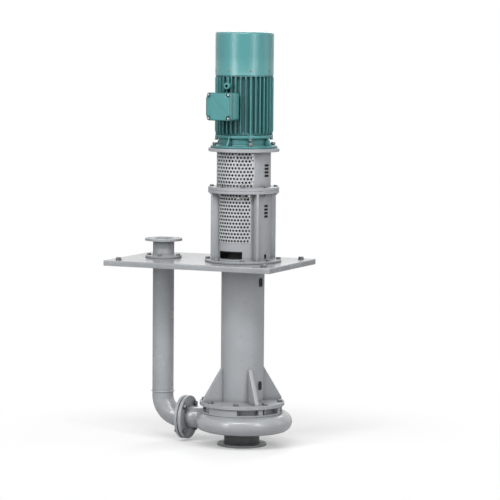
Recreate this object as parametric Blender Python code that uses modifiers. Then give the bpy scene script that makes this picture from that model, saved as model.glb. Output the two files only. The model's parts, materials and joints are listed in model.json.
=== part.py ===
"""Vertical slurry pump: a volute pump hung on a column under a sole plate, driven by a flange motor above it.

Units are metres and +Z is up. The shaft axis is X = Y = 0, and z = 0 is the face of the suction flange.
The discharge line leaves the volute towards -X and rises through the sole plate.
Angles about the shaft are measured from +X, counter-clockwise seen from above.
"""

import math

import bmesh
import bpy
from mathutils import Matrix, Vector

# Clearances
SEAT_GAP = 0.0003
RUNNING_GAP = 0.0010

# How far a cutter runs past what it cuts, or a joined piece is sunk into its neighbour
THROUGH = 0.005

# Suction cover
SUCTION_BORE_RADIUS = 0.0750
SUCTION_NECK_WALL = 0.0190
SUCTION_BOLT_EDGE = 0.0185
SUCTION_FLANGE_EDGE = 0.0185
SUCTION_FLANGE_THICK = 0.0120
SUCTION_BOLTS = 4
SUCTION_BOLT_START = math.radians(22.5)
SUCTION_SPIGOT_STEP = 0.0050
SUCTION_SPIGOT_TALL = 0.0150
SUCTION_COVER_STEP = 0.0160
SUCTION_COVER_THICK = 0.0100
FLANGE_HOLE_RADIUS = 0.0090

# Volute casing
CASING_FLOOR_Z = 0.0785
CASING_TALL = 0.0985
CASING_FLOOR_STEP = 0.0100
CASING_RIM_EDGE = 0.0135
CASING_RIM_DROP = 0.0270
CHAMBER_RADIUS = 0.1800
VOLUTE_LIFT = 0.0485
VOLUTE_START = math.radians(170)
VOLUTE_SWEEP = math.radians(310)
VOLUTE_STATIONS = 16
VOLUTE_START_STEP = 0.0250
VOLUTE_GROWTH = 0.0160
VOLUTE_START_RADIUS = 0.0425
VOLUTE_END_RADIUS = 0.0550
PASSAGE_START_RADIUS = 0.0300
PASSAGE_END_RADIUS = 0.0420
NECK_BORE_RADIUS = 0.0505
NECK_WALL = 0.0075
NECK_OUTREACH = 0.1280
NECK_STRAIGHT = 0.0130
NECK_BEND_PULL = 0.0900
NECK_STATIONS = 6
NECK_ROOT_SHARE = 0.8

# Casing cover
COVER_PLATE_THICK = 0.0080
COVER_SPIGOT_TALL = 0.0140
COVER_DRUM_STEP = 0.0080
COVER_BORE_RADIUS = 0.0550
COVER_PAD_START = math.radians(-119)
COVER_PAD_WIDTH = math.radians(46)
COVER_PAD_STEP = 0.0060
COVER_WINDOWS = 8
COVER_WINDOW_WIDTH = math.radians(31)
COVER_POST_WIDTH = math.radians(6.5)
SEAL_LIP_TALL = 0.0300
GLAND_RADIUS = 0.0720
GLAND_TALL = 0.0120

# Column
COLUMN_RADIUS = 0.1140
COLUMN_WALL = 0.0080
COLUMN_FLANGE_EDGE = 0.0220
COLUMN_FLANGE_THICK = 0.0200
COVER_STAND = 0.0395
GUSSETS = 4
GUSSET_START = math.radians(45)
GUSSET_TALL = 0.1800
GUSSET_INSET = 0.0030
GUSSET_LIP = 0.0100
GUSSET_TOP_WIDE = 0.0025
GUSSET_THICK = 0.0220
SLOT_ANGLE = math.radians(-8)
SLOT_TALL = 0.0450
SLOT_WIDE = 0.0200
LOWER_SLOT_LIFT = 0.0895
UPPER_SLOT_DROP = 0.1060
CASING_BOLTS = 8
CASING_BOLT_STEP = 0.0230
CASING_BOLT_START = math.radians(15)
CASING_BOLT_ENGAGED = 0.0050

# Sole plate
PLATE_TOP_Z = 0.9800
PLATE_THICK = 0.0290
PLATE_LEFT_X = -0.6700
PLATE_RIGHT_X = 0.2870
PLATE_WIDE = 0.6200
PLATE_BOLT_INSET = 0.0600

# Discharge line
PIPE_RADIUS = 0.0571
PIPE_WALL = 0.0060
LINE_FLANGE_EDGE = 0.0220
NECK_FLANGE_THICK = 0.0185
ELBOW_FLANGE_THICK = 0.0165
GASKET_THICK = 0.0024
LINE_BOLTS = 4
LINE_BOLT_STEP = 0.0355
LINE_BOLT_START = math.radians(45)
ELBOW_STRAIGHT = 0.0110
ELBOW_BEND_RADIUS = 0.1100
ELBOW_STEPS = 6
ELBOW_RISE = 0.0230
RISER_STAND = 0.1035
RISER_FLANGE_EDGE = 0.0198
RISER_FLANGE_THICK = 0.0125
RISER_BOLT_STEP = 0.0229
RISER_BOLTS = 4
COLLAR_WIDE = 0.0399
COLLAR_THICK = 0.0120

# Lantern
LANTERN_WALL = 0.0060
LANTERN_HEAD_ROOM = 0.0700
RING_WIDE = 0.0595
RING_THICK = 0.0127
RING_BORE_GAP = 0.0050
RING_BORE_STEP = 0.0035
MID_FLANGE_WIDE = 0.0445
MID_FLANGE_THICK = 0.0158
MOTOR_PLATE_THICK = 0.0180
MOTOR_SPIGOT_STEP = 0.0115
POSTS = 4
POST_START = math.radians(-42)
POST_THICK = 0.0140
POST_INSET = 0.0005
GUARD_THICK = 0.0015
GUARD_LAP = math.radians(2.4)
LOWER_GUARD_WIDTH = math.radians(78)
LOWER_GUARD_ANGLE = math.radians(-89)
UPPER_GUARD_WIDTH = math.radians(98)
UPPER_GUARD_ANGLE = math.radians(-92)
LOWER_GUARD_FOOT = 0.0950
GUARD_EDGE = 0.0030
GUARD_SEAT = 0.0050
HATCH_START = math.radians(-125)
HATCH_WIDTH = math.radians(57)
HATCH_LIFT = 0.0100
HATCH_TALL = 0.0390
VENT_RADIUS = 0.0050
VENT_PITCH = 0.0182
VENT_ROWS = 4
VENT_COLUMNS = 2
LOWER_VENT_DROP = 0.1090
UPPER_VENT_LIFT = 0.1042

# Pump shaft, bearings and housing
SHAFT_RADIUS = 0.0350
SHAFT_FOOT_GRIP = 0.0327
SHAFT_FOOT_RADIUS = 0.0225
BEARING_SEAT_RADIUS = 0.0300
SHAFT_TOP_RADIUS = 0.0260
BEARING_RADIUS = 0.0650
BEARING_TALL = 0.0327
BEARING_RACE = 0.0095
HOUSING_FLANGE_STEP = 0.0140
HOUSING_FLANGE_THICK = 0.0200
HOUSING_WALL = 0.0170
HOUSING_HEAD_STEP = 0.0130
HOUSING_HEAD_THICK = 0.0140
HOUSING_TALL = 0.3097
HOUSING_SHOULDER = 0.0090
BEARING_INSET = 0.0150
BEARING_COVER_THICK = 0.0120
LOCKNUT_RADIUS = 0.0420
LOCKNUT_TALL = 0.0130

# Impeller
IMPELLER_TIP_ROOM = 0.0400
IMPELLER_SHROUD_THICK = 0.0080
IMPELLER_TOP_ROOM = 0.0050
IMPELLER_FOOT_ROOM = 0.0030
IMPELLER_HUB_RADIUS = 0.0420
IMPELLER_NOSE_LIFT = 0.0115
IMPELLER_VANES = 5
IMPELLER_VANE_THICK = 0.0090
IMPELLER_VANE_WRAP = math.radians(95)
IMPELLER_VANE_START = 0.0480
VANE_STEPS = 6

# Coupling
COUPLING_FLANGE_RADIUS = 0.0580
COUPLING_HUB_RADIUS = 0.0420
COUPLING_HUB_TALL = 0.0700
COUPLING_FLANGE_THICK = 0.0250
JAWS = 3
JAW_WIDTH = math.radians(50)
JAW_INNER_RADIUS = 0.0290
COUPLING_FOOT_ROOM = 0.0334
COUPLING_HEAD_ROOM = 0.0353
SPIDER_THICK = 0.0180
SPIDER_CORE_RADIUS = 0.0280

# Motor
MOTOR_TURN = math.radians(-98)
MOTOR_FLANGE_RADIUS = 0.1755
MOTOR_FLANGE_THICK = 0.0127
MOTOR_SPIGOT_TALL = 0.0045
ENDSHIELD_CONE_RADIUS = 0.1310
ENDSHIELD_BAND_RADIUS = 0.1480
ENDSHIELD_BAND_TALL = 0.0140
ENDSHIELD_BAND_FLARE = 0.0050
ENDSHIELD_WALL = 0.0062
ENDSHIELD_TALL = 0.0682
ENDSHIELD_RIBS = 4
ENDSHIELD_RIB_THICK = 0.0080
ENDSHIELD_RIB_INSET = 0.0050
FRAME_TALL = 0.3067
FRAME_ROOT_RADIUS = 0.1310
FRAME_WALL = 0.0062
FIN_TALL = 0.0230
FIN_THICK = 0.0045
FIN_ROOT_SHARE = 1.24
FIN_TIP_SHARE = 0.76
FINS = 36
LUG_RIB_THICK = 0.0095
LUG_RIB_EVERY = 9
FIN_FOOT_CHAMFER = 0.0200
FIN_HEAD_NOTCH = 0.0080
COWL_RADIUS = 0.1537
COWL_WALL = 0.0020
COWL_LIFT = 0.0069
COWL_TALL = 0.2248
COWL_CORNER = 0.0120
COWL_CORNER_STEPS = 2
COWL_LIP = 0.0010
COWL_LIP_TALL = 0.0040
COWL_LUGS = 8
COWL_LUG_WIDTH = math.radians(6)
COWL_LUG_LIFT = 0.0100
COWL_LUG_TALL = 0.0180
GRILLE_RINGS = 3
GRILLE_SPOKES = 4
GRILLE_FIRST_RADIUS = 0.0450
GRILLE_PITCH = 0.0300
GRILLE_SLOT = 0.0100
GRILLE_SPOKE_WIDTH = 0.0100
MOTOR_SHAFT_RADIUS = 0.0210
MOTOR_SHAFT_GRIP = 0.0744
ROTOR_SHAFT_RADIUS = 0.0270
FAN_SHAFT_RADIUS = 0.0175
ROTOR_RADIUS = 0.0800
AIR_GAP = 0.0015
CORE_FOOT_ROOM = 0.0416
CORE_HEAD_ROOM = 0.0451
WINDING_TALL = 0.0340
WINDING_INSET = 0.0100
MOTOR_BEARING_TALL = 0.0270
DRIVE_BEARING_RADIUS = 0.0450
FAN_BEARING_RADIUS = 0.0363
FAN_BEARING_TALL = 0.0194
FAN_RADIUS = 0.1300
FAN_LIFT = 0.0749
FAN_TALL = 0.0600
FAN_BLADES = 8
FAN_BLADE_THICK = 0.0030
FAN_HUB_RADIUS = 0.0300

# Terminal box
BOX_LIFT = 0.1526
BOX_STAND = 0.0110
BOX_DEEP = 0.0810
BOX_LID_THICK = 0.0120
BOX_WIDE = 0.1430
BOX_TALL = 0.1430
BOX_CORNER = 0.0140
BOX_WALL = 0.0050
LID_OVERHANG = 0.0010
PAD_WIDE = 0.1100
PAD_TALL = 0.1100
BOSS_DROP = 0.0491
BOSS_RADIUS = 0.0180
BOSS_STAND = 0.0240
BOSS_HOLE_RADIUS = 0.0060
BOSS_HOLE_DEEP = 0.0200
BLOCK_WIDE = 0.0700
BLOCK_TALL = 0.0450
BLOCK_THICK = 0.0250
BLOCK_CORNER = 0.0035

# Bolts
BOLT_RADIUS = 0.0080
BOLT_HOLE_RADIUS = 0.0085
BOLT_HEAD_RADIUS = 0.0139
BOLT_HEAD_TALL = 0.0100
NUT_TALL = 0.0130
THREAD_PROUD = 0.0050

# Facets round a full turn; all are multiples of four, so that quarter turns repeat
WIDE_STEPS = 32
PIPE_STEPS = 20
MID_STEPS = 16
OPEN_HOLE_STEPS = 12
BOLT_STEPS = 8
VOLUTE_SIDES = 14
PASSAGE_SIDES = 10
HEX_SIDES = 6
FLAT_ENOUGH = math.radians(0.05)
SHARP_ANGLE = math.radians(35)
WELD_DISTANCE = 0.00001

# Radii that follow from the sizes above
SUCTION_NECK_RADIUS = SUCTION_BORE_RADIUS + SUCTION_NECK_WALL
SUCTION_BOLT_CIRCLE = SUCTION_NECK_RADIUS + SUCTION_BOLT_EDGE
SUCTION_FLANGE_RADIUS = SUCTION_BOLT_CIRCLE + SUCTION_FLANGE_EDGE
SUCTION_SPIGOT_RADIUS = SUCTION_NECK_RADIUS + SUCTION_SPIGOT_STEP
SUCTION_COVER_RADIUS = SUCTION_SPIGOT_RADIUS + SUCTION_COVER_STEP
CASING_FLOOR_RADIUS = CHAMBER_RADIUS + CASING_FLOOR_STEP
CASING_BOLT_CIRCLE = CHAMBER_RADIUS + CASING_BOLT_STEP
CASING_RIM_RADIUS = CASING_BOLT_CIRCLE + CASING_RIM_EDGE
COLUMN_FLANGE_RADIUS = CASING_BOLT_CIRCLE + COLUMN_FLANGE_EDGE
COVER_DRUM_RADIUS = CHAMBER_RADIUS - COVER_DRUM_STEP
VOLUTE_START_REACH = CHAMBER_RADIUS + VOLUTE_START_STEP
VOLUTE_END_REACH = VOLUTE_START_REACH + VOLUTE_GROWTH
IMPELLER_RADIUS = CHAMBER_RADIUS - IMPELLER_TIP_ROOM
NECK_RADIUS = NECK_BORE_RADIUS + NECK_WALL
LINE_BOLT_CIRCLE = NECK_RADIUS + LINE_BOLT_STEP
LINE_FLANGE_RADIUS = LINE_BOLT_CIRCLE + LINE_FLANGE_EDGE
RISER_BOLT_CIRCLE = PIPE_RADIUS + RISER_BOLT_STEP
RISER_FLANGE_RADIUS = RISER_BOLT_CIRCLE + RISER_FLANGE_EDGE
COLLAR_RADIUS = PIPE_RADIUS + COLLAR_WIDE
HOUSING_RADIUS = BEARING_RADIUS + HOUSING_WALL
HOUSING_HEAD_RADIUS = HOUSING_RADIUS + HOUSING_HEAD_STEP
HOUSING_MID_BORE = BEARING_RADIUS - HOUSING_SHOULDER
HOUSING_FLANGE_RADIUS = COLUMN_RADIUS + HOUSING_FLANGE_STEP
RING_BORE_RADIUS = HOUSING_FLANGE_RADIUS + RING_BORE_GAP
LANTERN_RADIUS = RING_BORE_RADIUS + RING_BORE_STEP + LANTERN_WALL
RING_RADIUS = LANTERN_RADIUS + RING_WIDE
MID_FLANGE_RADIUS = LANTERN_RADIUS + MID_FLANGE_WIDE
MOTOR_SPIGOT_RADIUS = LANTERN_RADIUS - LANTERN_WALL - MOTOR_SPIGOT_STEP
FRAME_BORE_RADIUS = FRAME_ROOT_RADIUS - FRAME_WALL
FIN_TIP_RADIUS = FRAME_ROOT_RADIUS + FIN_TALL
STATOR_BORE_RADIUS = ROTOR_RADIUS + AIR_GAP
BOX_BACK = FIN_TIP_RADIUS + BOX_STAND
BOSS_REACH = FIN_TIP_RADIUS + BOSS_STAND

# Heights that follow, from the casing up
VOLUTE_Z = CASING_FLOOR_Z + VOLUTE_LIFT
SPIGOT_TOP_Z = CASING_FLOOR_Z + SUCTION_SPIGOT_TALL
CASING_SEAT_Z = CASING_FLOOR_Z + CASING_TALL
COVER_SEAT_Z = CASING_SEAT_Z + SEAT_GAP
COVER_SPIGOT_Z = CASING_SEAT_Z - COVER_SPIGOT_TALL
COLUMN_FLANGE_Z = CASING_SEAT_Z + COVER_STAND
COVER_TOP_Z = COLUMN_FLANGE_Z - SEAT_GAP
COLUMN_FLANGE_TOP_Z = COLUMN_FLANGE_Z + COLUMN_FLANGE_THICK
IMPELLER_TOP_Z = COVER_SPIGOT_Z - IMPELLER_TOP_ROOM
IMPELLER_VANE_FOOT_Z = SPIGOT_TOP_Z + IMPELLER_FOOT_ROOM
IMPELLER_NOSE_Z = IMPELLER_VANE_FOOT_Z + IMPELLER_NOSE_LIFT
SHAFT_FOOT_Z = IMPELLER_TOP_Z - SHAFT_FOOT_GRIP
PLATE_FOOT_Z = PLATE_TOP_Z - PLATE_THICK
LANTERN_FOOT_Z = PLATE_TOP_Z + SEAT_GAP
HOUSING_FOOT_Z = PLATE_TOP_Z + SEAT_GAP
HOUSING_TOP_Z = HOUSING_FOOT_Z + HOUSING_TALL
LOWER_BEARING_Z = HOUSING_FOOT_Z + BEARING_INSET
UPPER_BEARING_Z = HOUSING_TOP_Z - BEARING_INSET - BEARING_TALL
BEARING_COVER_Z = HOUSING_TOP_Z + SEAT_GAP + BEARING_COVER_THICK
MID_JOINT_Z = HOUSING_TOP_Z + LANTERN_HEAD_ROOM
UPPER_FOOT_Z = MID_JOINT_Z + SEAT_GAP
LOWER_VENT_Z = MID_JOINT_Z - LOWER_VENT_DROP
UPPER_VENT_Z = UPPER_FOOT_Z + UPPER_VENT_LIFT
COUPLING_TALL = COUPLING_HUB_TALL + COUPLING_FLANGE_THICK + SEAT_GAP
SPIDER_Z = BEARING_COVER_Z + COUPLING_FOOT_ROOM + COUPLING_TALL + SPIDER_THICK / 2
COUPLING_TOP_Z = SPIDER_Z + SPIDER_THICK / 2 + COUPLING_TALL
MOTOR_SEAT_Z = COUPLING_TOP_Z + COUPLING_HEAD_ROOM
MOTOR_FACE_Z = MOTOR_SEAT_Z + SEAT_GAP
FRAME_FOOT_Z = MOTOR_FACE_Z + ENDSHIELD_TALL + SEAT_GAP
FRAME_TOP_Z = FRAME_FOOT_Z + FRAME_TALL
CORE_FOOT_Z = FRAME_FOOT_Z + CORE_FOOT_ROOM
CORE_TALL = FRAME_TALL - CORE_FOOT_ROOM - CORE_HEAD_ROOM
BOX_Z = FRAME_FOOT_Z + BOX_LIFT
BOSS_Z = FRAME_TOP_Z - BOSS_DROP
COWL_FOOT_Z = FRAME_TOP_Z + COWL_LIFT
COWL_TOP_Z = COWL_FOOT_Z + COWL_TALL
FAN_FOOT_Z = FRAME_TOP_Z + FAN_LIFT

# The discharge line, from the neck out to the riser
NECK_END_X = -(CHAMBER_RADIUS + NECK_OUTREACH)
NECK_BEND_X = NECK_END_X + NECK_STRAIGHT
GASKET_X = NECK_END_X - NECK_FLANGE_THICK - SEAT_GAP
ELBOW_X = GASKET_X - GASKET_THICK - SEAT_GAP
ELBOW_BEND_X = ELBOW_X - ELBOW_FLANGE_THICK - ELBOW_STRAIGHT
RISER_X = ELBOW_BEND_X - ELBOW_BEND_RADIUS
ELBOW_TOP_Z = VOLUTE_Z + ELBOW_BEND_RADIUS + ELBOW_RISE
RISER_TOP_Z = PLATE_TOP_Z + RISER_STAND


def clear_scene():
    """Remove every object of the startup scene."""
    for obj in list(bpy.data.objects):
        bpy.data.objects.remove(obj, do_unlink=True)


def new_collection(name):
    made = bpy.data.collections.new(name)
    bpy.context.scene.collection.children.link(made)
    return made


def principled(name, colour, roughness, metallic):
    """A plain material with one colour."""
    made = bpy.data.materials.new(name)
    made.use_nodes = True
    shader = made.node_tree.nodes["Principled BSDF"]
    shader.inputs["Base Color"].default_value = (*colour, 1.0)
    shader.inputs["Roughness"].default_value = roughness
    shader.inputs["Metallic"].default_value = metallic
    made.diffuse_color = (*colour, 1.0)
    return made


def new_object(name, mesh, matrix=None):
    """A tool object: it stays a hidden helper until part() turns it into a piece."""
    obj = bpy.data.objects.new(name, mesh)
    CUTTERS.objects.link(obj)
    obj.matrix_world = matrix or Matrix.Identity(4)
    obj.display_type = "WIRE"
    obj.hide_render = True
    return obj


def baked(obj):
    """The object's mesh with its modifiers applied, in its own space."""
    bpy.context.view_layer.update()
    graph = bpy.context.evaluated_depsgraph_get()
    mesh = bpy.data.meshes.new_from_object(obj.evaluated_get(graph))
    mesh.name = obj.name
    shape = bmesh.new()
    shape.from_mesh(mesh)
    bmesh.ops.dissolve_limit(shape, angle_limit=FLAT_ENOUGH, verts=shape.verts, edges=shape.edges)
    shape.to_mesh(mesh)
    shape.free()
    mesh.shade_smooth()
    mesh.set_sharp_from_angle(angle=SHARP_ANGLE)
    return mesh


def settle(obj):
    """Apply the object's modifiers, so that the next cuts start from clean faces."""
    mesh = baked(obj)
    obj.modifiers.clear()
    obj.data = mesh
    return obj


def part(obj, material, parent=None):
    """Turn a helper into a visible piece with one material, its modifiers applied."""
    settle(obj)
    obj.data.materials.clear()
    obj.data.materials.append(material)
    CUTTERS.objects.unlink(obj)
    PARTS.objects.link(obj)
    obj.display_type = "TEXTURED"
    obj.hide_render = False
    if parent:
        obj.parent = parent
        obj.matrix_parent_inverse = Matrix.Translation(-parent.location)
    return obj


def turned(name, profile, steps=WIDE_STEPS, ring=False, matrix=None):
    """A solid of revolution from (radius, z) points, down the outer side; a ring's profile closes on itself."""
    mesh = bpy.data.meshes.new(name)
    count = len(profile)
    edges = [(i, i + 1) for i in range(count - 1)]
    if ring:
        edges.append((count - 1, 0))
    mesh.from_pydata([(r, 0.0, z) for r, z in profile], edges, [])
    obj = new_object(name, mesh, matrix)
    screw = obj.modifiers.new("turn", "SCREW")
    screw.steps = steps
    screw.render_steps = steps
    screw.use_merge_vertices = True
    screw.merge_threshold = WELD_DISTANCE
    screw.use_smooth_shade = True
    return settle(obj)


def disc(name, radius, foot, top, steps=WIDE_STEPS, matrix=None):
    """A plain cylinder from foot to top."""
    shape = bmesh.new()
    bmesh.ops.create_cone(
        shape, cap_ends=True, segments=steps, radius1=radius, radius2=radius, depth=top - foot,
        matrix=shift(0, 0, (foot + top) / 2),
    )
    mesh = bpy.data.meshes.new(name)
    shape.to_mesh(mesh)
    shape.free()
    return new_object(name, mesh, matrix)


def tube(name, outer, inner, foot, top, steps=WIDE_STEPS, matrix=None):
    """A plain ring or tube from foot to top."""
    profile = [(outer, top), (outer, foot), (inner, foot), (inner, top)]
    return turned(name, profile, steps, ring=True, matrix=matrix)


def mesh_of_curve(name, curve, matrix):
    """The mesh of a curve, its caps welded on."""
    carrier = bpy.data.objects.new(name, curve)
    CUTTERS.objects.link(carrier)
    bpy.context.view_layer.update()
    graph = bpy.context.evaluated_depsgraph_get()
    mesh = bpy.data.meshes.new_from_object(carrier.evaluated_get(graph))
    bpy.data.objects.remove(carrier)
    shape = bmesh.new()
    shape.from_mesh(mesh)
    bmesh.ops.remove_doubles(shape, verts=shape.verts, dist=WELD_DISTANCE)
    bmesh.ops.recalc_face_normals(shape, faces=shape.faces)
    shape.to_mesh(mesh)
    shape.free()
    return new_object(name, mesh, matrix)


def flat(name, loops, thick, matrix=None):
    """A flat plate: closed loops of (x, y) points, the inner ones holes, from z = 0 up to its thickness."""
    curve = bpy.data.curves.new(name, "CURVE")
    curve.dimensions = "2D"
    curve.fill_mode = "BOTH"
    curve.extrude = thick / 2
    for loop in loops:
        spline = curve.splines.new("POLY")
        spline.points.add(len(loop) - 1)
        for point, (x, y) in zip(spline.points, loop):
            point.co = (x, y, 0.0, 1.0)
        spline.use_cyclic_u = True
    raised = Matrix.Translation((0, 0, thick / 2))
    return mesh_of_curve(name, curve, (matrix or Matrix.Identity(4)) @ raised)


def swept(name, points, radii, sides):
    """A round bar along the points, with a radius at each point."""
    curve = bpy.data.curves.new(name, "CURVE")
    curve.dimensions = "3D"
    curve.twist_mode = "MINIMUM"
    curve.bevel_depth = 1.0
    curve.bevel_resolution = sides // 2 - 2
    curve.use_fill_caps = True
    spline = curve.splines.new("POLY")
    spline.points.add(len(points) - 1)
    for knot, where, radius in zip(spline.points, points, radii):
        knot.co = (*where, 1.0)
        knot.radius = radius
    return mesh_of_curve(name, curve, None)


def combine(obj, operation, tools):
    for tool in tools:
        step = obj.modifiers.new(tool.name, "BOOLEAN")
        step.operation = operation
        step.solver = "EXACT"
        step.object = tool
    return obj


def cut(obj, *tools):
    return combine(obj, "DIFFERENCE", tools)


def join(obj, *tools):
    return combine(obj, "UNION", tools)


def arc(radius, start, end, steps):
    """Points on a circle from start to end, both ends included."""
    angles = [start + (end - start) * i / steps for i in range(steps + 1)]
    return [(radius * math.cos(a), radius * math.sin(a)) for a in angles]


def bore_for(radius, steps, gap=RUNNING_GAP):
    """The corner radius of a faceted bore whose flats stay clear of a round piece that turns inside it."""
    return (radius + gap) / math.cos(math.pi / steps)


def circle(radius, steps, centre=(0.0, 0.0)):
    return [(centre[0] + x, centre[1] + y) for x, y in arc(radius, 0, 2 * math.pi, steps)[:-1]]


def sector(name, inner, outer, foot, tall, start, width, steps=6):
    """A block bounded by two radii and two angles."""
    loop = arc(outer, start, start + width, steps) + arc(inner, start + width, start, steps)
    return flat(name, [loop], tall, Matrix.Translation((0, 0, foot)))


def rounded_rectangle(wide, tall, corner, steps=4):
    """The outline of a rectangle centred on the origin with round corners."""
    loop = []
    for quarter, (sx, sy) in enumerate(((1, 1), (-1, 1), (-1, -1), (1, -1))):
        start = quarter * math.pi / 2
        for x, y in arc(corner, start, start + math.pi / 2, steps):
            loop.append((sx * (wide / 2 - corner) + x, sy * (tall / 2 - corner) + y))
    return loop


def spin(angle):
    return Matrix.Rotation(angle, 4, "Z")


def shift(x, y, z):
    return Matrix.Translation((x, y, z))


def facing(angle, reach, z):
    """A frame whose local Z points away from the shaft in a direction, its local X along the tangent, Y up."""
    out = Vector((math.cos(angle), math.sin(angle), 0.0))
    up = Vector((0.0, 0.0, 1.0))
    side = up.cross(out)
    turn = Matrix((side, up, out)).transposed().to_4x4()
    return shift(*(out * reach + up * z)) @ turn


def along_minus_x(x, z):
    """A frame at (x, 0, z) whose local Z points along -X."""
    return shift(x, 0, z) @ Matrix.Rotation(-math.pi / 2, 4, "Y")


def ring_of_holes(name, radius, count, start, hole, foot, top, matrix=None, steps=BOLT_STEPS):
    """One cutter for a circle of holes; its pins stay separate bodies."""
    shape = bmesh.new()
    for i in range(count):
        angle = start + 2 * math.pi * i / count
        where = spin(angle) @ shift(radius, 0, (foot + top) / 2)
        bmesh.ops.create_cone(
            shape, cap_ends=True, segments=steps, radius1=hole, radius2=hole, depth=top - foot, matrix=where
        )
    mesh = bpy.data.meshes.new(name)
    shape.to_mesh(mesh)
    shape.free()
    return new_object(name, mesh, matrix)


def bolt_mesh(name, grip, nut=False, reach=0.0):
    """A hex bolt standing on z = 0, its shank through the grip below, with a nut under the grip if wanted."""
    beyond = NUT_TALL + THREAD_PROUD if nut else reach
    bolt = disc(name, BOLT_RADIUS, -(grip + beyond), BOLT_HEAD_TALL / 2, BOLT_STEPS)
    join(bolt, disc(name + "_head", BOLT_HEAD_RADIUS, SEAT_GAP, BOLT_HEAD_TALL, HEX_SIDES))
    if nut:
        low = -(grip + NUT_TALL)
        join(bolt, disc(name + "_nut", BOLT_HEAD_RADIUS, low, -(grip + SEAT_GAP), HEX_SIDES))
    mesh = baked(bolt)
    mesh.materials.clear()
    mesh.materials.append(MATERIALS["zinc"])
    return mesh


def place_bolts(name, mesh, frame, radius, count, start):
    """Copies of one bolt round a circle, each its own object."""
    for i in range(count):
        angle = start + 2 * math.pi * i / count
        bolt = bpy.data.objects.new(f"{name}_{i + 1}", mesh)
        PARTS.objects.link(bolt)
        bolt.matrix_world = frame @ spin(angle) @ shift(radius, 0, 0)


def make_suction_cover():
    """The suction neck with its flange, the disc under the casing and the spigot inside it."""
    disc_top = CASING_FLOOR_Z - SEAT_GAP
    disc_foot = disc_top - SUCTION_COVER_THICK
    profile = [
        (SUCTION_SPIGOT_RADIUS, SPIGOT_TOP_Z),
        (SUCTION_SPIGOT_RADIUS, disc_top),
        (SUCTION_COVER_RADIUS, disc_top),
        (SUCTION_COVER_RADIUS, disc_foot),
        (SUCTION_NECK_RADIUS, disc_foot),
        (SUCTION_NECK_RADIUS, SUCTION_FLANGE_THICK),
        (SUCTION_FLANGE_RADIUS, SUCTION_FLANGE_THICK),
        (SUCTION_FLANGE_RADIUS, 0.0),
        (SUCTION_BORE_RADIUS, 0.0),
        (SUCTION_BORE_RADIUS, SPIGOT_TOP_Z),
    ]
    cover = turned("suction_cover", profile, ring=True)
    holes = ring_of_holes(
        "suction_flange_holes", SUCTION_BOLT_CIRCLE, SUCTION_BOLTS, SUCTION_BOLT_START,
        FLANGE_HOLE_RADIUS, -THROUGH, SUCTION_FLANGE_THICK + THROUGH, steps=OPEN_HOLE_STEPS,
    )
    return part(cut(cover, holes), MATERIALS["dark_iron"])


def volute_station(turn):
    """Where the middle of the volute's section lies at a share of its sweep."""
    angle = VOLUTE_START + VOLUTE_SWEEP * turn
    reach = VOLUTE_START_REACH + (VOLUTE_END_REACH - VOLUTE_START_REACH) * turn
    return Vector((reach * math.cos(angle), reach * math.sin(angle), VOLUTE_Z))


def neck_path():
    """The middle line from the last stretch of the volute, bending out to the straight neck along -X."""
    angle = VOLUTE_START + VOLUTE_SWEEP
    start = volute_station(1.0)
    heading = Vector((-math.sin(angle), math.cos(angle), 0.0))
    end = Vector((NECK_BEND_X, 0.0, VOLUTE_Z))
    knots = (start, start + heading * NECK_BEND_PULL, end + Vector((NECK_BEND_PULL, 0, 0)), end)
    path = [volute_station(1.0 - 1.0 / VOLUTE_STATIONS)]
    for i in range(NECK_STATIONS + 1):
        t = i / NECK_STATIONS
        weights = ((1 - t) ** 3, 3 * t * (1 - t) ** 2, 3 * t * t * (1 - t), t ** 3)
        path.append(sum((k * w for k, w in zip(knots, weights)), Vector()))
    return path


def volute_shape(name, start_radius, end_radius, neck_radius, neck_end, sides):
    """The spiral and its neck as two round bars; used for the outside and for the passage."""
    turns = [i / VOLUTE_STATIONS for i in range(-1, VOLUTE_STATIONS + 2)]
    radii = [start_radius + (end_radius - start_radius) * t for t in turns]
    radii[0] *= NECK_ROOT_SHARE
    radii[-1] *= NECK_ROOT_SHARE
    spiral = swept(name + "_spiral", [volute_station(t) for t in turns], radii, sides)
    path = neck_path()
    path.append(Vector((neck_end, 0.0, VOLUTE_Z)))
    inside = end_radius - RUNNING_GAP
    grown = [inside + (neck_radius - inside) * i / NECK_STATIONS for i in range(NECK_STATIONS + 1)]
    neck = swept(name + "_neck", path, [NECK_ROOT_SHARE * inside] + grown + [neck_radius], sides)
    return spiral, neck


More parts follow.
